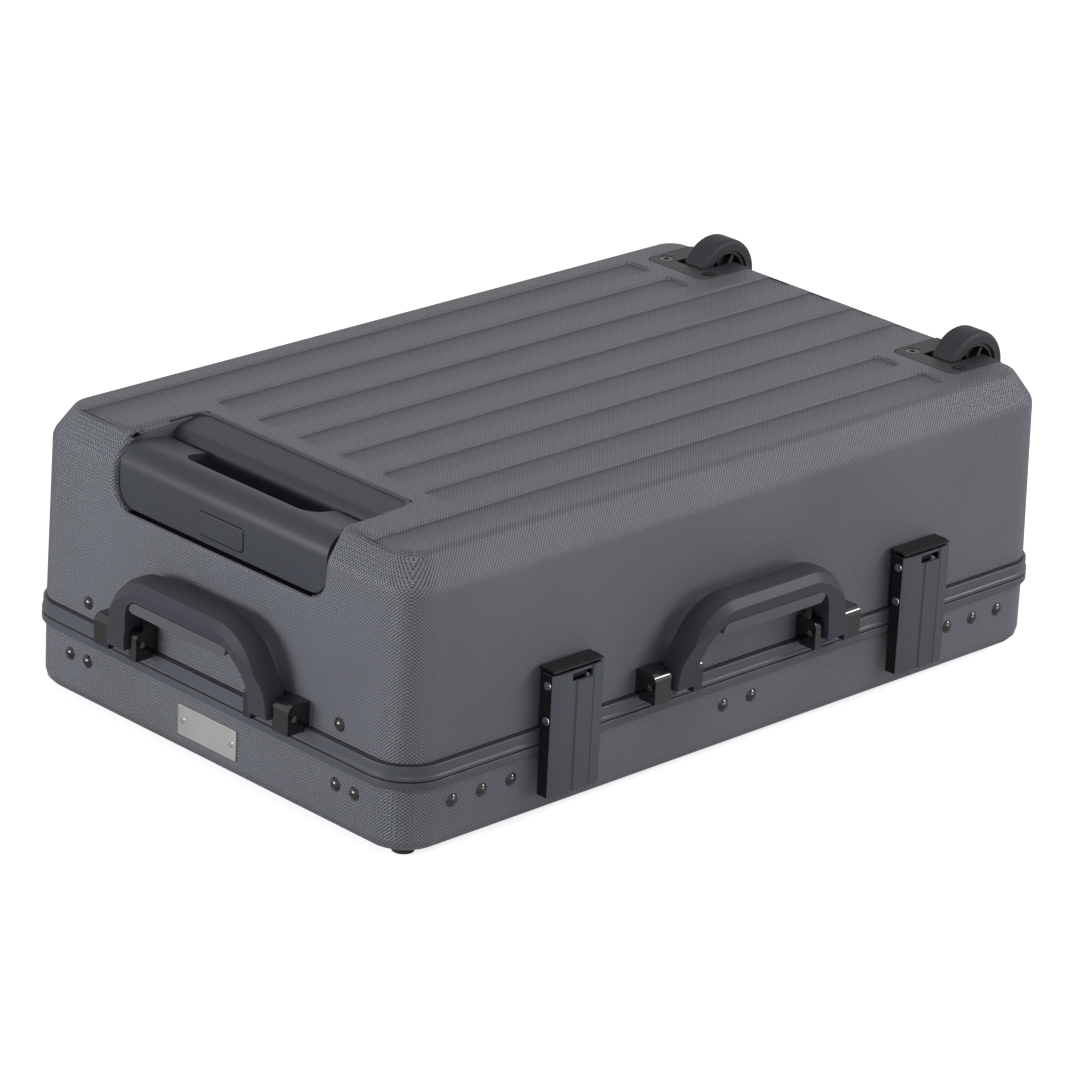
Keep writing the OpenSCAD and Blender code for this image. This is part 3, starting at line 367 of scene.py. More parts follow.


# %% [markdown]
# The shades come from the photograph, piece by piece: the shells are a blue-grey, the band,
# latches and grips a darker slate, and the brackets nearly black. The rivets are nearly black
# too, which is a painted dark reflection of their metal. Only the bare plate and the steel,
# aluminium and zinc pieces are metals. Each of the record's material slots gets one finish.

# %% The finishes, one for each material slot of the record
finishes = {
    "shell": finish("shell_woven_grey", (0.190, 0.198, 0.242), 0.36, grain=400, specular=0.6),
    "frame_band": finish("band_satin_slate", (0.066, 0.070, 0.088), 0.36, grain=1500),
    "latch_flap": finish("latch_satin_slate", (0.062, 0.066, 0.083), 0.38, grain=1500,
                         specular=0.4),
    "latch_base": finish("latch_base_black", (0.012, 0.012, 0.013), 0.42, grain=1500,
                         specular=0.2),
    "seal": finish("seal_black", (0.006, 0.006, 0.007), 0.7),
    "foot": finish("foot_rubber", (0.02, 0.02, 0.021), 0.8, grain=500, grain_depth=0.00006),
    "bare_plate": finish("plate_silver", (0.62, 0.62, 0.61), 0.34, metallic=1.0),
    # The rivets' near-black colour is a painted dark reflection of their metal.
    "rivet": finish("rivet_black_painted_reflection", (0.012, 0.012, 0.013), 0.14, grain_depth=0, specular=0.7),
    "steel": finish("steel_bright", (0.55, 0.55, 0.56), 0.25, metallic=1.0),
    "hinge": finish("hinge_dark_zinc", (0.10, 0.10, 0.11), 0.36, metallic=0.6),
    "handle_grip": finish("grip_satin_slate", (0.040, 0.042, 0.055), 0.42, grain=1400,
                          specular=0.25),
    "handle_insert": finish("insert_soft_grey", (0.078, 0.080, 0.096), 0.50, grain=900,
                            specular=0.4),
    "bracket": finish("bracket_gloss_black", (0.006, 0.006, 0.007), 0.12, grain_depth=0, coat=0.6),
    "trolley": finish("trolley_satin_slate", (0.034, 0.037, 0.050), 0.40, grain=1400, specular=0.4),
    "tube": finish("tube_anodised", (0.60, 0.60, 0.62), 0.28, metallic=1.0),
    "clamp": finish("clamp_black", (0.02, 0.02, 0.021), 0.5),
    "tyre": finish("tyre_rubber", (0.030, 0.031, 0.037), 0.55, grain=700, grain_depth=0.00005,
                   specular=0.3),
    "hub": finish("hub_black", (0.018, 0.018, 0.020), 0.45),
    "housing": finish("housing_grey", (0.024, 0.025, 0.030), 0.45, grain=900, specular=0.3),
    "deck": finish("deck_plywood", (0.36, 0.25, 0.15), 0.6, drift=0.2),
    "loop_cover": finish("loop_pile", (0.012, 0.012, 0.013), 0.95, grain=1800, grain_depth=0.0006),
    "bearer": finish("bearer_aluminium", (0.60, 0.60, 0.61), 0.32, metallic=1.0),
    "lid_panel": finish("panel_black", (0.018, 0.018, 0.019), 0.55),
    "foam": finish("foam_charcoal", (0.022, 0.022, 0.024), 0.95, grain=2200, grain_depth=0.0005),
}
# The shell's weave gets painted shade in its gaps, nearly black.
add_weave(finishes["shell"], pitch=0.0018, depth=0.0006, painted_gap_shade=0.05)
print("finishes:", len(finishes))

# %% [markdown]
# ## Modelling helpers
#
# Every piece is worked on by hand tools: an object is made active by itself, its faces,
# edges or points are picked by their place, and an edit operator does the work. When it is
# done its place goes into its mesh, and its smooth surfaces are shaded smooth.

# %% Modelling helpers


def nothing():
    """Leaves edit mode with nothing selected."""
    if bpy.context.object is not None and bpy.context.object.mode != "OBJECT":
        bpy.ops.object.mode_set(mode="OBJECT")
    bpy.ops.object.select_all(action="DESELECT")


def alone(piece):
    """Leaves edit mode and makes this piece the only one selected."""
    nothing()
    piece.select_set(True)
    bpy.context.view_layer.objects.active = piece


def edit(piece, kind="FACE", everything=False):
    """Opens a piece in edit mode, with nothing or everything selected."""
    alone(piece)
    bpy.ops.object.mode_set(mode="EDIT")
    bpy.ops.mesh.select_mode(type=kind)
    bpy.ops.mesh.select_all(action="SELECT" if everything else "DESELECT")


def pick(piece, kind, test):
    """In edit mode, selects only the faces, edges or points for which test is true."""
    bpy.ops.mesh.select_mode(type=kind)
    bpy.ops.mesh.select_all(action="DESELECT")
    mesh = bmesh.from_edit_mesh(piece.data)
    found = 0
    for item in {"VERT": mesh.verts, "EDGE": mesh.edges, "FACE": mesh.faces}[kind]:
        if test(item):
            item.select_set(True)
            found += 1
    mesh.select_flush_mode()
    bmesh.update_edit_mesh(piece.data)
    return found


def modify(piece, kind, **settings):
    """Adds one modifier with these settings and applies it."""
    alone(piece)
    modifier = piece.modifiers.new(kind.lower(), kind)
    for name, value in settings.items():
        setattr(modifier, name, value)
    bpy.ops.object.modifier_apply(modifier=modifier.name)


def block(name, low, high):
    """A box between two corners, made from the cube primitive."""
    nothing()
    low, high = Vector(low), Vector(high)
    bpy.ops.mesh.primitive_cube_add(size=1, location=(low + high) / 2)
    piece = bpy.context.object
    piece.name = name
    piece.scale = high - low
    bpy.ops.object.transform_apply(location=True, rotation=True, scale=True)
    return piece


def settle(piece, node, angle=35):
    """Ends a piece: smooth shading, unwrapping in metres, its finish, and what it rides on."""
    alone(piece)
    bpy.ops.object.transform_apply(location=True, rotation=True, scale=True)
    bpy.ops.object.shade_smooth_by_angle(angle=math.radians(angle))
    modify(piece, "WEIGHTED_NORMAL", keep_sharp=True)
    edit(piece, "FACE", everything=True)
    bpy.ops.uv.cube_project(cube_size=1.0, correct_aspect=False)
    alone(piece)
    slot = slot_of[node]
    piece.data.materials.clear()
    piece.data.materials.append(finishes[slot])
    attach(piece, body_of[node])
    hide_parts(node)
    return piece


def copied(node, whole_faces=True):
    """A merged copy of one of the model's pieces, its triangles joined into whole faces."""
    nothing()
    source = frame["nodes"][node]
    piece = source.copy()
    piece.data = source.data.copy()
    piece.name = node + "_dressed"
    piece.parent = None
    for key in list(piece.keys()):
        del piece[key]
    bpy.context.scene.collection.objects.link(piece)
    edit(piece, "VERT", everything=True)
    bpy.ops.mesh.remove_doubles(threshold=0.00001)
    if whole_faces:
        bpy.ops.mesh.dissolve_limited(angle_limit=math.radians(1.0))
    alone(piece)
    return piece


def middle_of(edge):
    """The middle of an edge, in millimetres about the case's middle at the parting plane."""
    place = (edge.verts[0].co + edge.verts[1].co) / 2
    return (place - at(0, 0, 0)) / MM


def weigh_edges(piece, weight):
    """In edit mode, gives each selected edge the bevel weight that a function works out."""
    mesh = bmesh.from_edit_mesh(piece.data)
    layer = mesh.edges.layers.float.get("bevel_weight_edge")
    if layer is None:
        layer = mesh.edges.layers.float.new("bevel_weight_edge")
    for item in mesh.edges:
        item[layer] = weight(item) if item.select else 0.0
    bmesh.update_edit_mesh(piece.data)


def rounded(piece, widest, weight, segments=3, angle=30):
    """Rounds the sharp edges of a piece, each by its own share of the widest round."""
    edit(piece)
    pick(piece, "EDGE", lambda e: len(e.link_faces) == 2
         and e.calc_face_angle(0) > math.radians(angle))
    weigh_edges(piece, weight)
    modify(piece, "BEVEL", width=widest * MM, segments=segments, limit_method="WEIGHT",
           use_clamp_overlap=True)


def skin(piece):
    """The area of a piece's triangles, which shows whether a face has closed over a hole."""
    piece.data.calc_loop_triangles()
    return sum(triangle.area for triangle in piece.data.loop_triangles)


def eased(piece, width, angle=40, segments=2, **more):
    """Rounds each edge that turns by more than an angle, by so many millimetres."""
    modify(piece, "BEVEL", width=width * MM, segments=segments, limit_method="ANGLE",
           angle_limit=math.radians(angle), **more)


def second_finish(piece, finish_name, test):
    """Gives a second finish to the faces of a piece for which test is true."""
    piece.data.materials.append(finishes[finish_name])
    edit(piece)
    pick(piece, "FACE", test)
    piece.active_material_index = 1
    bpy.ops.object.material_slot_assign()
    alone(piece)


AREA_SLACK = 0.06


def softened(node, edge):
    """A copy of one of the model's pieces with its sharp edges rounded by so many millimetres."""
    real = skin(frame["nodes"][node])
    piece = None
    for whole_faces, width in ((True, edge), (False, edge), (False, 0)):
        if piece is not None:
            bpy.data.objects.remove(piece)
        piece = copied(node, whole_faces)
        if width > 0:
            eased(piece, width, use_clamp_overlap=True, miter_outer="MITER_ARC")
        share = skin(piece) / real
        if abs(share - 1) < AREA_SLACK:
            break
        print(node, "has", round(share, 3), "of the area that the model gives it")
    return settle(piece, node)


# %% [markdown]
# ## The lid's shell
#
# On the real case this is one sheet, heated and drawn over a mould, so its creases, its
# channels and the mouth of the trolley recess are all round. It is made here as that mould
# would be: a closed block is built first, the recess, the channels and the wheel seats are
# cut in it, and last it is opened and given its wall, inwards, so that its outside stays
# where the model has it. The helpers below make the outlines and do the cuts. A cut's tool
# carries a finish of its own, which marks the faces that it leaves.

# %% Outlines and cuts
CLOSE = 1e-5


def lies_at(edge, axis, place):
    """Whether both ends of an edge lie at one place along an axis: 0, 1, 2 for x, y, z."""
    return all(abs(v.co[axis] - place) < CLOSE for v in edge.verts)


def span(edge, axis):
    """How far an edge runs along an axis."""
    return abs(edge.verts[0].co[axis] - edge.verts[1].co[axis])


def outline(length, width, radius, height):
    """A flat rectangle with round corners about the case's middle, in millimetres."""
    nothing()
    bpy.ops.mesh.primitive_plane_add(size=1, location=at(0, 0, height))
    piece = bpy.context.object
    piece.scale = (length * MM, width * MM, 1)
    bpy.ops.object.transform_apply(location=True, rotation=True, scale=True)
    edit(piece, "VERT", everything=True)
    bpy.ops.mesh.bevel(offset=radius * MM, segments=10, affect="VERTICES")
    alone(piece)
    return piece


def joined(pieces, name):
    """Joins pieces into the first one and names it."""
    alone(pieces[0])
    for piece in pieces[1:]:
        piece.select_set(True)
    bpy.ops.object.join()
    pieces[0].name = name
    return pieces[0]


def bridged(pieces, name):
    """A closed block through flat outlines, given from the lowest to the highest."""
    low = min(pieces[0].data.vertices, key=lambda v: v.co.z).co.z
    high = max(pieces[-1].data.vertices, key=lambda v: v.co.z).co.z
    piece = joined(pieces, name)
    edit(piece, "EDGE", everything=True)
    bpy.ops.mesh.delete(type="ONLY_FACE")
    bpy.ops.mesh.select_all(action="SELECT")
    bpy.ops.mesh.bridge_edge_loops()
    for level in (low, high):
        pick(piece, "EDGE", lambda e: lies_at(e, 2, level))
        bpy.ops.mesh.edge_face_add()
    bpy.ops.mesh.select_all(action="SELECT")
    bpy.ops.mesh.normals_make_consistent(inside=False)
    alone(piece)
    return piece


def cut(piece, tool, finish_name):
    """Cuts a tool out of a piece; the faces that it leaves carry a material of their own."""
    tool.data.materials.append(finishes[finish_name])
    modify(piece, "BOOLEAN", operation="DIFFERENCE", object=tool, solver="EXACT",
           material_mode="TRANSFER")
    bpy.data.objects.remove(tool)


def index_of(piece, finish_name):
    """The place of a finish among a piece's materials."""
    return piece.data.materials.find(finishes[finish_name].name)


def select_rim(piece, finish_name):
    """In edit mode, selects the edges that bound the faces of one material."""
    wanted = index_of(piece, finish_name)
    pick(piece, "FACE", lambda f: f.material_index == wanted)
    bpy.ops.mesh.region_to_loop()


# %% [markdown]
# Three outlines with round corners are bridged into a closed block: the foot, the line where
# the shoulder begins, and the top. A box could be tapered instead, but its corners would
# keep one radius, and here the top's corners are tighter. The two creases are then rounded.

# %% The lid's block and its creases
SHOULDER_Z = 134.0
SHOULDER_RUN = 15.0
LEAN = 2.0
CORNER = 28
TOP_CORNER = 16
SHOULDER_ROUND = 3.5
TOP_ROUND = 4.0
lid_low, lid_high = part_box("lid_shell")
lid_l = (lid_high.x - lid_low.x) / MM
lid_w = (lid_high.y - lid_low.y) / MM
lid_foot = (lid_low.z - PARTING) / MM
lid_top = (lid_high.z - PARTING) / MM
lid = bridged([
    outline(lid_l, lid_w, CORNER, lid_foot),
    outline(lid_l - 2 * LEAN, lid_w - 2 * LEAN, CORNER, SHOULDER_Z),
    outline(lid_l - 2 * (LEAN + SHOULDER_RUN), lid_w - 2 * (LEAN + SHOULDER_RUN), TOP_CORNER,
            lid_top),
], "lid_shell_dressed")
lid.data.materials.append(finishes["shell"])
edit(lid)
for level, width in ((SHOULDER_Z, SHOULDER_ROUND), (lid_top, TOP_ROUND)):
    height = PARTING + level * MM
    found = pick(lid, "EDGE", lambda e: lies_at(e, 2, height))
    bpy.ops.mesh.bevel(offset=width * MM, segments=4, affect="EDGES")
    print("crease at", level, "edges", found)

# %% [markdown]
# The recess that the trolley's grip lies in is open at the end wall, and its lower corners
# are round. Its place comes from the grip's box and a clearance. Its floor and back face are
# taken away again, because the trolley's cup lies there. The cup leaves a strip of the floor
# open in front of it, about 10 mm wide, which the grip covers at rest.

# %% The trolley recess
RECESS_OUT = -345
RECESS_BACK = -233.0
RECESS_ABOVE = 200
GRIP_GAP = 1.3
GRIP_GAP_BELOW = 1.2
FOOT_CORNER = 16
BACK_CORNER = 10
grip_low, grip_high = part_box("trolley_grip")
RECESS_HALF = (grip_high.y - grip_low.y) / 2 / MM + GRIP_GAP
RECESS_FOOT = (grip_low.z - PARTING) / MM - GRIP_GAP_BELOW
print("recess half", round(RECESS_HALF, 2), "foot", round(RECESS_FOOT, 2))
recess_tool = block("recess_tool", at(RECESS_OUT, -RECESS_HALF, RECESS_FOOT),
                    at(RECESS_BACK, RECESS_HALF, RECESS_ABOVE))
edit(recess_tool)
foot_height = at(0, 0, RECESS_FOOT).z
pick(recess_tool, "EDGE", lambda e: lies_at(e, 2, foot_height) and span(e, 1) < CLOSE)
bpy.ops.mesh.bevel(offset=FOOT_CORNER * MM, segments=8, affect="EDGES")
back = at(RECESS_BACK, 0, 0).x
pick(recess_tool, "EDGE", lambda e: lies_at(e, 0, back) and span(e, 1) < CLOSE
     and span(e, 2) > 50 * MM)
bpy.ops.mesh.bevel(offset=BACK_CORNER * MM, segments=6, affect="EDGES")
alone(recess_tool)
cut(lid, recess_tool, "trolley")

# %% [markdown]
# A sheet that is drawn over a mould can't turn sharply, so the recess's mouth rolls in:
# widely at the sides, less along its foot, and hardly at the back. Its long edges are
# divided, and each short edge gets its own share of the widest roll as a bevel weight.

# %% The mouth of the recess
MOUTH_ROLL = 6.0
BACK_REACH = 25
FOOT_REACH = 24
edit(lid)
select_rim(lid, "trolley")
mesh = bmesh.from_edit_mesh(lid.data)
for item in mesh.edges:
    item.select_set(item.select and item.calc_length() > 15 * MM)
bmesh.update_edit_mesh(lid.data)
bpy.ops.mesh.subdivide(number_cuts=5)
select_rim(lid, "trolley")


def mouth_roll(edge):
    """Share of the widest roll, from a rim edge's place."""
    middle = middle_of(edge)
    from_back = min(1.0, max(0.0, (RECESS_BACK - 12 - middle.x) / BACK_REACH))
    from_foot = min(1.0, max(0.0, (middle.z - RECESS_FOOT) / FOOT_REACH))
    return 0.2 + 0.8 * from_back * (0.45 + 0.55 * from_foot)


weigh_edges(lid, mouth_roll)
alone(lid)
modify(lid, "BEVEL", width=MOUTH_ROLL * MM, segments=5, limit_method="WEIGHT",
       use_clamp_overlap=False)
edit(lid)
recess_faces = index_of(lid, "trolley")
found = pick(lid, "FACE", lambda f: f.material_index == recess_faces
             and (abs(f.calc_center_median().z - foot_height) < 0.6 * MM
                  or (f.calc_center_median().x > back - 1 * MM and abs(f.normal.x) > 0.9)))
print("recess faces taken away:", found)
bpy.ops.mesh.delete(type="FACE")
alone(lid)

# %% [markdown]
# The long channels stiffen the lid's flat top, as the ribs of a suitcase do. Each is a bar
# with sloping sides and round ends, sunk in the top by the channel's depth. The four in the
# middle run out over the wheel end, and the outermost two run out at the trolley end. One
# bar is made for each channel, and one cut takes them all.

# %% The channels
CHANNEL = 26.0
PITCH = 43.0
DEPTH = 2.0
SLOPE = 1.3
CHANNEL_START = -218.0
CHANNEL_STOP = 237.0
CHANNEL_CORNER = 7
LINE_ROUND = 0.45
end = lid_l / 2 + 4


def channel_tool(y, x0, x1):
    """A bar with sloping sides and ends, sunk in the lid's top."""
    tool = block("channel", at(x0, y - CHANNEL / 2 - SLOPE, lid_top - DEPTH),
                 at(x1, y + CHANNEL / 2 + SLOPE, lid_top + DEPTH))
    edit(tool)
    pick(tool, "EDGE", lambda e: span(e, 2) > 1 * MM)
    bpy.ops.mesh.bevel(offset=CHANNEL_CORNER * MM, segments=5, affect="EDGES")
    bottom = at(0, 0, lid_top - DEPTH).z
    pick(tool, "VERT", lambda v: abs(v.co.z - bottom) < CLOSE)
    length = x1 - x0
    width = CHANNEL + 2 * SLOPE
    shrink = 4 * SLOPE
    bpy.ops.transform.resize(value=(1 - shrink / length, 1 - shrink / width, 1))
    alone(tool)
    return tool


tools = []
for side in (-1, 1):
    tools += [channel_tool(side * PITCH * 0.5, CHANNEL_START, end),
              channel_tool(side * PITCH * 1.5, CHANNEL_START, end),
              channel_tool(side * PITCH * 2.5, CHANNEL_START, CHANNEL_STOP),
              channel_tool(side * PITCH * 3.5, -end, CHANNEL_STOP)]
cut(lid, joined(tools, "channels"), "seal")
edit(lid)
channel_faces = index_of(lid, "seal")
found = pick(lid, "EDGE", lambda e: len(e.link_faces) == 2
             and any(f.material_index == channel_faces for f in e.link_faces)
             and e.calc_face_angle(0) > math.radians(12))
bpy.ops.mesh.bevel(offset=LINE_ROUND * MM, segments=2, affect="EDGES", clamp_overlap=True)
print("channel edges rounded:", found)
alone(lid)

# %% [markdown]
# Two corners of the lid are notched for the wheels' housings, which close the notches from
# inside. Each seat is its housing's box with a small gap. The cut's own faces are deleted,
# and so are the few faces of the shell that the cut leaves over a seat. Then the foot is
# opened, and the surface gets the thickness of the real sheet.

# %% The wheel seats and the wall
SEAT_GAP = 0.6 * MM
SEAT_CORNER = 8
SHEET = 2.5
for side in ("left", "right"):
    low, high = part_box(f"wheel_{side}_housing")
    near = low.x - SEAT_GAP
    tool = block("wheel_seat", (near, low.y - SEAT_GAP, low.z - SEAT_GAP),
                 (high.x + 20 * MM, high.y + SEAT_GAP, high.z + 50 * MM))
    edit(tool)
    pick(tool, "EDGE", lambda e: lies_at(e, 0, near) and span(e, 2) > 1 * MM)
    bpy.ops.mesh.bevel(offset=SEAT_CORNER * MM, segments=5, affect="EDGES")
    alone(tool)
    cut(lid, tool, "housing")
    seat = index_of(lid, "housing")
    edit(lid)
    left_over = pick(lid, "FACE", lambda f: f.material_index != seat
                     and f.calc_center_median().x > low.x - 0.3 * MM
                     and low.y < f.calc_center_median().y < high.y
                     and f.calc_center_median().z > low.z + 1 * MM)
    bpy.ops.mesh.delete(type="FACE")
    print(side, "faces left over the seat, taken away:", left_over)
edit(lid)
select_rim(lid, "housing")
bpy.ops.mesh.bevel(offset=1.0 * MM, segments=2, affect="EDGES", clamp_overlap=True)
seat_faces = index_of(lid, "housing")
pick(lid, "FACE", lambda f: f.material_index == seat_faces)
bpy.ops.mesh.delete(type="FACE")
foot_level = lid_low.z
pick(lid, "FACE", lambda f: abs(f.calc_center_median().z - foot_level) < 0.2 * MM
     and f.normal.z < -0.9)
bpy.ops.mesh.delete(type="FACE")
bpy.ops.mesh.select_all(action="SELECT")
bpy.ops.mesh.dissolve_degenerate(threshold=1e-6)
alone(lid)
modify(lid, "SOLIDIFY", thickness=SHEET * MM, offset=-1.0, use_even_offset=False)
settle(lid, "lid_shell", angle=30)
print("lid shell faces:", len(lid.data.polygons))

# %% [markdown]
# ## The trolley's cup
#
# The cup is a moulding that hangs in the recess. Beside the grip it stays low, so what shows
# there is the shell's own woven side. Its walls are cut back to where the grip ends.

# %% Cup
GRIP_BACK = -263.5
CUP_OUT = -340
CUP_HALF = 108.7
CUP_BEYOND = 120
CUP_BELOW = 90
CUP_ABOVE = 200
CUP_FRONT = -302
CUP_LIP = 112
cup = copied("trolley_cup")
for side in (-1, 1):
    y0, y1 = sorted((side * CUP_HALF, side * CUP_BEYOND))
    cut(cup, block("cup_side", at(CUP_OUT, y0, CUP_BELOW), at(GRIP_BACK, y1, CUP_ABOVE)),
        "trolley")
cut(cup, block("cup_front", at(CUP_OUT, -CUP_BEYOND, CUP_BELOW),
               at(CUP_FRONT, CUP_BEYOND, CUP_LIP)), "trolley")
eased(cup, 0.8)
settle(cup, "trolley_cup")

# %% [markdown]
# The grip is the piece that a hand closes round, so its ends are rounded far more than its
# finger opening and the seat of its button. The button's seat keeps a crisp, dark outline.

# %% Trolley grip and button
BAR_HALF = 107.4


def grip_weight(edge):
    """Wide rounds at the two ends, small ones elsewhere."""
    middle = middle_of(edge)
    if abs(middle.y) > BAR_HALF - 2 and middle.x < -266:
        return 1.0
    if abs(middle.y) < 30 and middle.x < -300:
        return 0.1
    return 0.25


grip = copied("trolley_grip")
rounded(grip, 4.0, grip_weight, segments=4, angle=35)
settle(grip, "trolley_grip")

# %% [markdown]
# ## Latches
#
# The latch's base ends in a hood that follows the circle of the flap's top edge, so that no
# gap shows above the flap. It starts as a thin slice over the pivot, whose front face is
# drawn forward round the pivot, step by step, and whose back face is drawn straight back to
# the wall. The flap is an extruded channel: its face is slate, and the end wall on its -x side is
# black, which is painted shade.

# %% Latch hoods, flaps and triggers
HOOD_IN = 10.2
HOOD_OUT = 11.8
HOOD_TURN = math.radians(6.5)
HOOD_STEPS = 4
HOOD_RUN = 9.5
NOTCH_X = 3.5
LIP_HALF = 9.1
LIP_LOW, LIP_HIGH = 51.7, 53.4
LIP_FRONT, LIP_BACK = 1.0, 2.6


def hood(side):
    """The curved hood of one latch, drawn round the flap's pivot."""
    low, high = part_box(f"latch_{side}_flap")
    pin_low, pin_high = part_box(f"latch_{side}_pivots")
    pivot = (pin_low + pin_high) / 2
    piece = block(f"latch_{side}_hood",
                  (low.x, pivot.y - 0.1 * MM, pivot.z + HOOD_IN * MM),
                  (high.x, pivot.y + 0.1 * MM, pivot.z + HOOD_OUT * MM))
    edit(piece)
    pick(piece, "FACE", lambda f: f.normal.y < -0.9)
    for _ in range(HOOD_STEPS):
        bpy.ops.mesh.extrude_region()
        bpy.ops.transform.rotate(value=-HOOD_TURN, orient_axis="X", orient_type="GLOBAL",
                                 center_override=tuple(pivot))
    pick(piece, "FACE", lambda f: f.normal.y > 0.9)
    bpy.ops.mesh.extrude_region_move(TRANSFORM_OT_translate={"value": (0, HOOD_RUN * MM, 0)})
    alone(piece)
    return piece


for side in ("left", "right"):
    base = copied(f"latch_{side}_base")
    low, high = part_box(f"latch_{side}_base")
    pin_low, pin_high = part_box(f"latch_{side}_pivots")
    above = (pin_low.z + pin_high.z) / 2 + HOOD_IN * MM
    hood_cut = block("hood_cut", (low.x - 0.01, low.y - 0.01, above),
                     (high.x + 0.01, high.y + 0.01, above + 0.05))
    cut(base, hood_cut, "latch_base")
    base = joined([base, hood(side)], f"latch_{side}_base_dressed")
    eased(base, 0.5)
    settle(base, f"latch_{side}_base")
    print(side, "hood reaches", [round(v / MM, 1) for v in base.bound_box[0]],
          "to", [round(v / MM, 1) for v in base.bound_box[6]])

    flap = copied(f"latch_{side}_flap")
    eased(flap, 0.45, angle=25)
    settle(flap, f"latch_{side}_flap")
    low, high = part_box(f"latch_{side}_flap")
    # Painted shade: the end wall on the flap's -x side, which lies in shadow, gets the black base
    # finish.
    second_finish(flap, "latch_base", lambda f: f.normal.x < -0.8
                  and abs(f.calc_center_median().x - low.x) < 0.3 * MM)

    x = (low.x + high.x) / 2 / MM - MIDDLE.x / MM + NOTCH_X
    y = low.y / MM - MIDDLE.y / MM
    lip = block("lip", at(x - LIP_HALF, y + LIP_FRONT, LIP_LOW),
                at(x + LIP_HALF, y + LIP_BACK, LIP_HIGH))
    trigger = joined([copied(f"latch_{side}_trigger"), lip], f"latch_{side}_trigger_dressed")
    eased(trigger, 0.4)
    settle(trigger, f"latch_{side}_trigger")
    corner = at(0, y + LIP_BACK + 0.2, LIP_LOW - 0.2)
    second_finish(trigger, "latch_flap", lambda f: f.calc_center_median().z > corner.z
                  and f.calc_center_median().y < corner.y)

# %% [markdown]
# ## Carry handles
#
# The bail is one moulding. Seen from its side it is slim at the feet and stands out at the
# bar, so a foot section is drawn upwards, section by section. Seen from the front its
# shoulders are wide curves, so that body is cut to an outline with round corners, whose
# front is drawn in twice: this leaves two broad facets that run over the shoulders and down
# both legs. The soft insert is a rounded bar under it, with a narrow groove between.

# %% Handles
# Each section of the bail: its height, its back and its front, measured from the wall
SECTIONS = [(15.5, 2, 19), (34, 3.5, 20), (50, 6, 25), (59, 7, 27.8), (66, 7.5, 28),
            (77.5, 9, 28)]
FRONT_FACE = 28.0
FOOT_HALF = 88
ARM_IN = 65.5
# Right halves of the outlines in the front view: across, up and the corner's radius
OUTSIDE = [(84.8, 10, 0), (84.8, 40, 22), (60, 77.3, 21)]
HAND_GAP = [(ARM_IN, 5, 0), (ARM_IN, 34, 14), (52, 59.6, 9)]
INSERT_SEAT = [(51.2, 50, 0), (51.2, 60.4, 7)]
INSERT = [(50.4, 51.6, 6), (50.4, 59.7, 6.5)]


def prism(corners, name, y0, y1):
    """A flat outline in the front view, given as (x, z, radius), drawn from y0 to y1."""
    nothing()
    bpy.ops.mesh.primitive_circle_add(vertices=len(corners), fill_type="NGON", radius=0.1)
    piece = bpy.context.object
    piece.name = name
    for number, (x, z, radius) in enumerate(corners):
        edit(piece, "VERT")
        mesh = bmesh.from_edit_mesh(piece.data)
        mesh.verts.ensure_lookup_table()
        mesh.verts[number].select_set(True)
        move = at(x, y0, z) - mesh.verts[number].co
        bmesh.update_edit_mesh(piece.data)
        bpy.ops.transform.translate(value=move)
    for x, z, radius in corners:
        if radius:
            spot = at(x, y0, z)
            pick(piece, "VERT", lambda v: (v.co - spot).length < 0.01 * MM)
            bpy.ops.mesh.bevel(offset=radius * MM, segments=10, affect="VERTICES")
    edit(piece, "FACE", everything=True)
    bpy.ops.mesh.extrude_region_move(TRANSFORM_OT_translate={"value": (0, (y1 - y0) * MM, 0)})
    bpy.ops.mesh.select_all(action="SELECT")
    bpy.ops.mesh.normals_make_consistent(inside=False)
    alone(piece)
    return piece


def both_sides(half):
    """Corners of the right half, and their mirror on the left."""
    return half + [(-x, z, radius) for x, z, radius in reversed(half)]


def make_bail(wall):
    """The rigid part of a handle, in the front view, with the wall at y = wall."""
    z, back, front = SECTIONS[0]
    piece = block("bail", at(-FOOT_HALF, wall - front, z), at(FOOT_HALF, wall - back, z + 0.1))
    edit(piece)
    pick(piece, "FACE", lambda f: f.normal.z > 0.9)
    for (z0, back0, front0), (z, back, front) in zip(SECTIONS, SECTIONS[1:]):
        bpy.ops.mesh.extrude_region_move(
            TRANSFORM_OT_translate={"value": (0, 0, (z - z0) * MM)})
        bpy.ops.transform.resize(value=(1, (front - back) / (front0 - back0), 1))
        bpy.ops.transform.translate(
            value=(0, -((front + back) - (front0 + back0)) / 2 * MM, 0))
    alone(piece)
    outside = prism(both_sides(OUTSIDE), "outside", wall + 5, wall - 16)
    edit(outside)
    pick(outside, "FACE", lambda f: f.normal.y < -0.9)
    bpy.ops.mesh.inset(thickness=3 * MM, depth=8 * MM)
    bpy.ops.mesh.inset(thickness=6.5 * MM, depth=4.2 * MM)
    alone(outside)
    modify(piece, "BOOLEAN", operation="INTERSECT", object=outside, solver="EXACT")
    bpy.data.objects.remove(outside)
    return piece


def fit_handle(which, piece, node, angle):
    """Moves a piece made for the front handle to the handle it is for."""
    if which == "end":
        alone(piece)
        front_low, front_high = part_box("front_handle_grip")
        end_low, end_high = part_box("end_handle_grip")
        bpy.ops.object.transform_apply(location=True, rotation=True, scale=True)
        bpy.ops.transform.rotate(value=math.pi / 2, orient_axis="Z", center_override=(0, 0, 0))
        bpy.ops.object.transform_apply(location=True, rotation=True, scale=True)
        turned = Vector((front_low.y, -(front_low.x + front_high.x) / 2, 0))
        goal = Vector((end_low.x, (end_low.y + end_high.y) / 2, 0))
        bpy.ops.transform.translate(value=goal - turned)
    settle(piece, node, angle=angle)


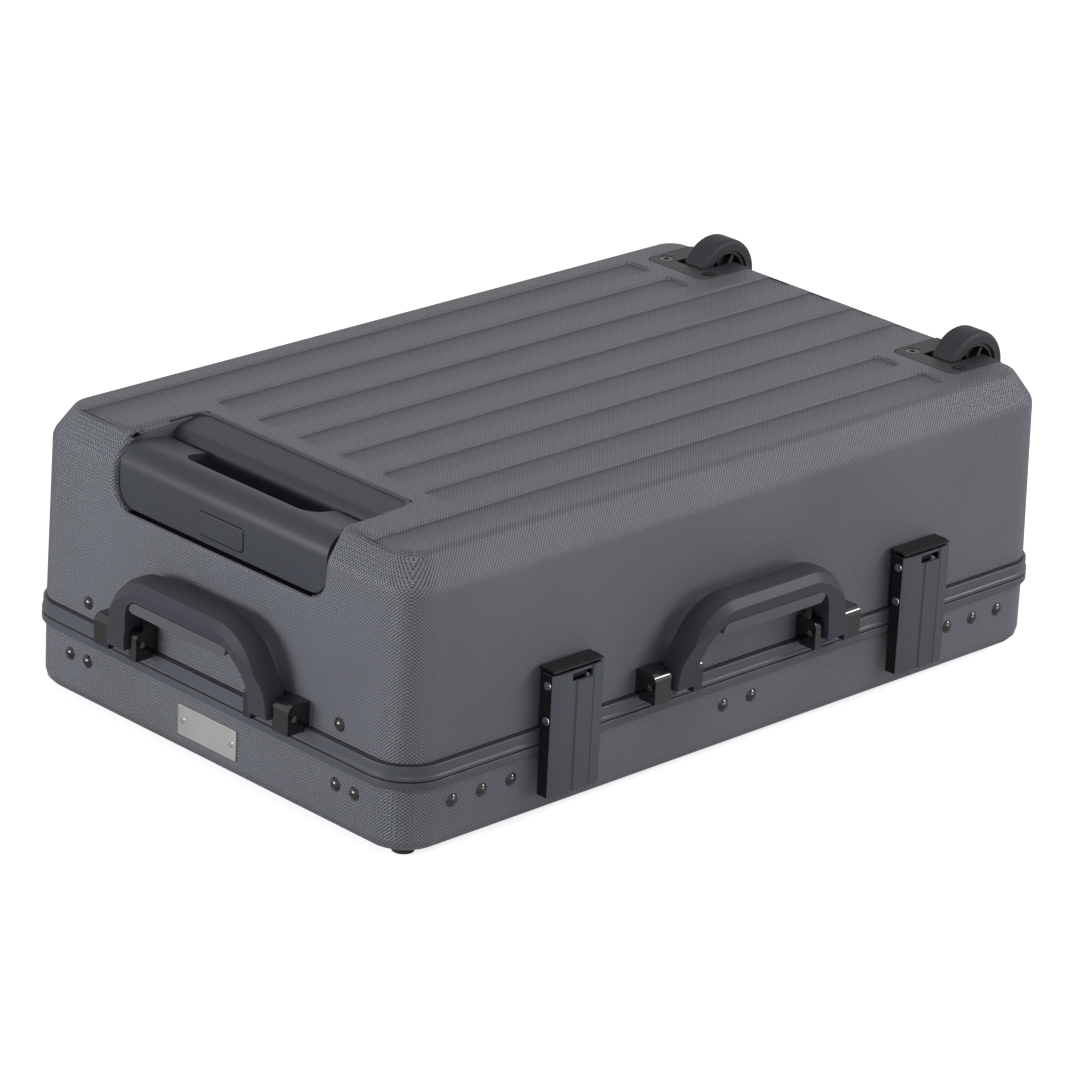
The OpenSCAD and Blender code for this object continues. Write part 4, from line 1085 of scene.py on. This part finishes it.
front_low, front_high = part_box("front_handle_grip")
WALL = (front_low.y - MIDDLE.y) / MM + FRONT_FACE
for which in ("front", "end"):
    bail = make_bail(WALL)
    cut(bail, prism(both_sides(HAND_GAP), "gap", WALL + 5, WALL - 40), "handle_grip")
    cut(bail, prism(both_sides(INSERT_SEAT), "seat", WALL - 22, WALL - 40), "handle_grip")
    eased(bail, 1.3, angle=24, segments=3)
    fit_handle(which, bail, f"{which}_handle_grip", 50)
    insert = prism(both_sides(INSERT), "insert", WALL - 12, WALL - 27.6)
    eased(insert, 2.2, segments=4)
    fit_handle(which, insert, f"{which}_handle_insert", 50)

# %% [markdown]
# ## Pieces whose shape is already right
#
# Metal and moulded pieces are never knife-sharp. Most of the model's pieces need only a small
# round on their edges, which catches a thin line of light, so they are copied, their
# triangles are merged into whole faces, and a bevel rounds every edge that turns sharply.

# %% Round the edges of the carried-over pieces
edge_rounds = {
    "tray_shell": 0.5, "tray_frame": 0.6, "lid_frame": 0.6, "tray_seal": 0.2, "lid_seal": 0.2,
    "feet": 0.8, "bare_plate": 0.35, "plate_screws": 0.15, "hinge_tray_leaves": 0.4,
    "hinge_lid_leaves": 0.4, "hinge_pins": 0.3, "trolley_button": 0.8,
    "trolley_inner_tubes": 0.2, "trolley_middle_tubes": 0.2, "trolley_outer_tubes": 0.2,
    "trolley_clamps": 0.6, "deck_panel": 0.8, "deck_bearers": 0.4, "lid_panel": 0.4,
}
for side in ("left", "right"):
    edge_rounds.update({
        f"latch_{side}_pivots": 0.3, f"latch_{side}_trigger_pin": 0.3,
        f"latch_{side}_keeper": 0.3, f"wheel_{side}_hub": 0.4, f"wheel_{side}_tyre": 0.5,
        f"wheel_{side}_axle": 0.3, f"wheel_{side}_housing": 0.8, f"wheel_{side}_screws": 0.3,
    })
for which in ("front", "end"):
    edge_rounds.update({f"{which}_handle_brackets": 1.2, f"{which}_handle_pins": 0.4})
edge_rounds.update({"tray_rivets": 0, "lid_rivets": 0})
for node, edge in edge_rounds.items():
    softened(node, edge)
print("carried-over pieces:", len(edge_rounds))

# The wheels' screws are steel, but they get the rivets' finish, whose near-black colour is a
# painted dark reflection
for side in ("left", "right"):
    screws = bpy.data.objects[f"wheel_{side}_screws_dressed"]
    screws.data.materials[0] = finishes["rivet"]

# %% [markdown]
# ## Soft pieces
#
# The deck carries a cover of loop fabric, on which pedals are fixed by their hooked pads. It
# is a laid sheet: a fine grid that rises and falls a little where the glue holds less, with
# the fabric's own thickness. The lid's foam is convoluted: its free side is a lattice of
# peaks and hollows, which presses on the pedals and holds them still.

# %% Loop cover


def rounded_off(piece, node, radius):
    """Cuts a flat piece to round corners, so that it fits between the case's walls."""
    low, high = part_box(node)
    keep = block("keep", low - Vector((0, 0, 0.01)), high + Vector((0, 0, 0.01)))
    edit(keep)
    pick(keep, "EDGE", lambda e: span(e, 2) > 10 * MM)
    bpy.ops.mesh.bevel(offset=radius * MM, segments=8, affect="EDGES")
    alone(keep)
    modify(piece, "BOOLEAN", operation="INTERSECT", object=keep, solver="EXACT")
    bpy.data.objects.remove(keep)


def grid_over(name, low, high, height, across, along):
    """A flat grid that covers a box, at one height, cut in so many cells each way."""
    nothing()
    place = ((low.x + high.x) / 2, (low.y + high.y) / 2, height)
    bpy.ops.mesh.primitive_grid_add(x_subdivisions=across, y_subdivisions=along, size=1,
                                    location=place)
    piece = bpy.context.object
    piece.name = name
    piece.scale = (high.x - low.x, high.y - low.y, 1)
    bpy.ops.object.transform_apply(location=True, rotation=True, scale=True)
    return piece


COVER_ROUND = 20.0
COVER_THICK = 1.0
LIFT = 0.12
WAVE_X, WAVE_Y = 31, 37
cover_low, cover_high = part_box("deck_cover")
cover = grid_over("deck_cover_cloth", cover_low, cover_high, cover_low.z + 0.15 * MM, 120, 72)
for waves in (5, 7, 9):
    edit(cover, "VERT")
    pick(cover, "VERT", lambda v: math.sin(v.co.x * WAVE_X * waves)
         * math.sin(v.co.y * WAVE_Y * waves) > 0.8)
    bpy.ops.transform.translate(value=(0, 0, LIFT * MM))
bpy.ops.mesh.select_all(action="SELECT")
bpy.ops.mesh.vertices_smooth(factor=0.5, repeat=2)
alone(cover)
modify(cover, "SOLIDIFY", thickness=COVER_THICK * MM, offset=1.0)
rounded_off(cover, "deck_cover", COVER_ROUND)
settle(cover, "deck_cover")

# %% [markdown]
# Convoluted foam is cut from a block between two rollers with studs, so peaks and hollows
# take turns like the fields of a chessboard. A grid's inner points are moved out and in by
# turns, and one subdivision with smoothing makes them round. A simulation would add nothing,
# because the foam lies flat on its panel.

# %% Foam
FOAM_ROUND = 23.0
CELL = 10.0
FACE = 4.0
PEAK = -3.9
HOLLOW = 3.0
EDGE_STRIP = 10 * MM
foam_low, foam_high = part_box("lid_foam")
across = round((foam_high.x - foam_low.x) / MM / CELL)
along = round((foam_high.y - foam_low.y) / MM / CELL)
step_x = (foam_high.x - foam_low.x) / across
step_y = (foam_high.y - foam_low.y) / along
face_level = foam_low.z + FACE * MM
foam = grid_over("lid_foam_convoluted", foam_low, foam_high, face_level, across, along)
edit(foam, "FACE", everything=True)
bpy.ops.mesh.extrude_region_move(
    TRANSFORM_OT_translate={"value": (0, 0, foam_high.z - foam_low.z - FACE * MM)})


def field(point):
    """0 or 1 by turns over the foam's face, as on a chessboard."""
    return (round((point.co.x - foam_low.x) / step_x)
            + round((point.co.y - foam_low.y) / step_y)) % 2


def inner(point):
    """Whether a point of the foam's face lies away from the foam's four sides."""
    return (abs(point.co.z - face_level) < 1 * MM
            and EDGE_STRIP < point.co.x - foam_low.x < foam_high.x - foam_low.x - EDGE_STRIP
            and EDGE_STRIP < point.co.y - foam_low.y < foam_high.y - foam_low.y - EDGE_STRIP)


for turn, move in ((0, PEAK), (1, HOLLOW)):
    pick(foam, "VERT", lambda v: inner(v) and field(v) == turn)
    bpy.ops.transform.translate(value=(0, 0, move * MM))
pick(foam, "FACE", lambda f: f.calc_center_median().z < face_level + 4 * MM
     and abs(f.normal.z) > 0.3)
bpy.ops.mesh.subdivide(number_cuts=1, smoothness=0.6)
bpy.ops.mesh.select_all(action="SELECT")
bpy.ops.mesh.normals_make_consistent(inside=False)
alone(foam)
lowest = min(v.co.z for v in foam.data.vertices)
print("foam from", round((lowest - foam_low.z) / MM, 2), "mm over its seat")
rounded_off(foam, "lid_foam", FOAM_ROUND)
settle(foam, "lid_foam", angle=60)
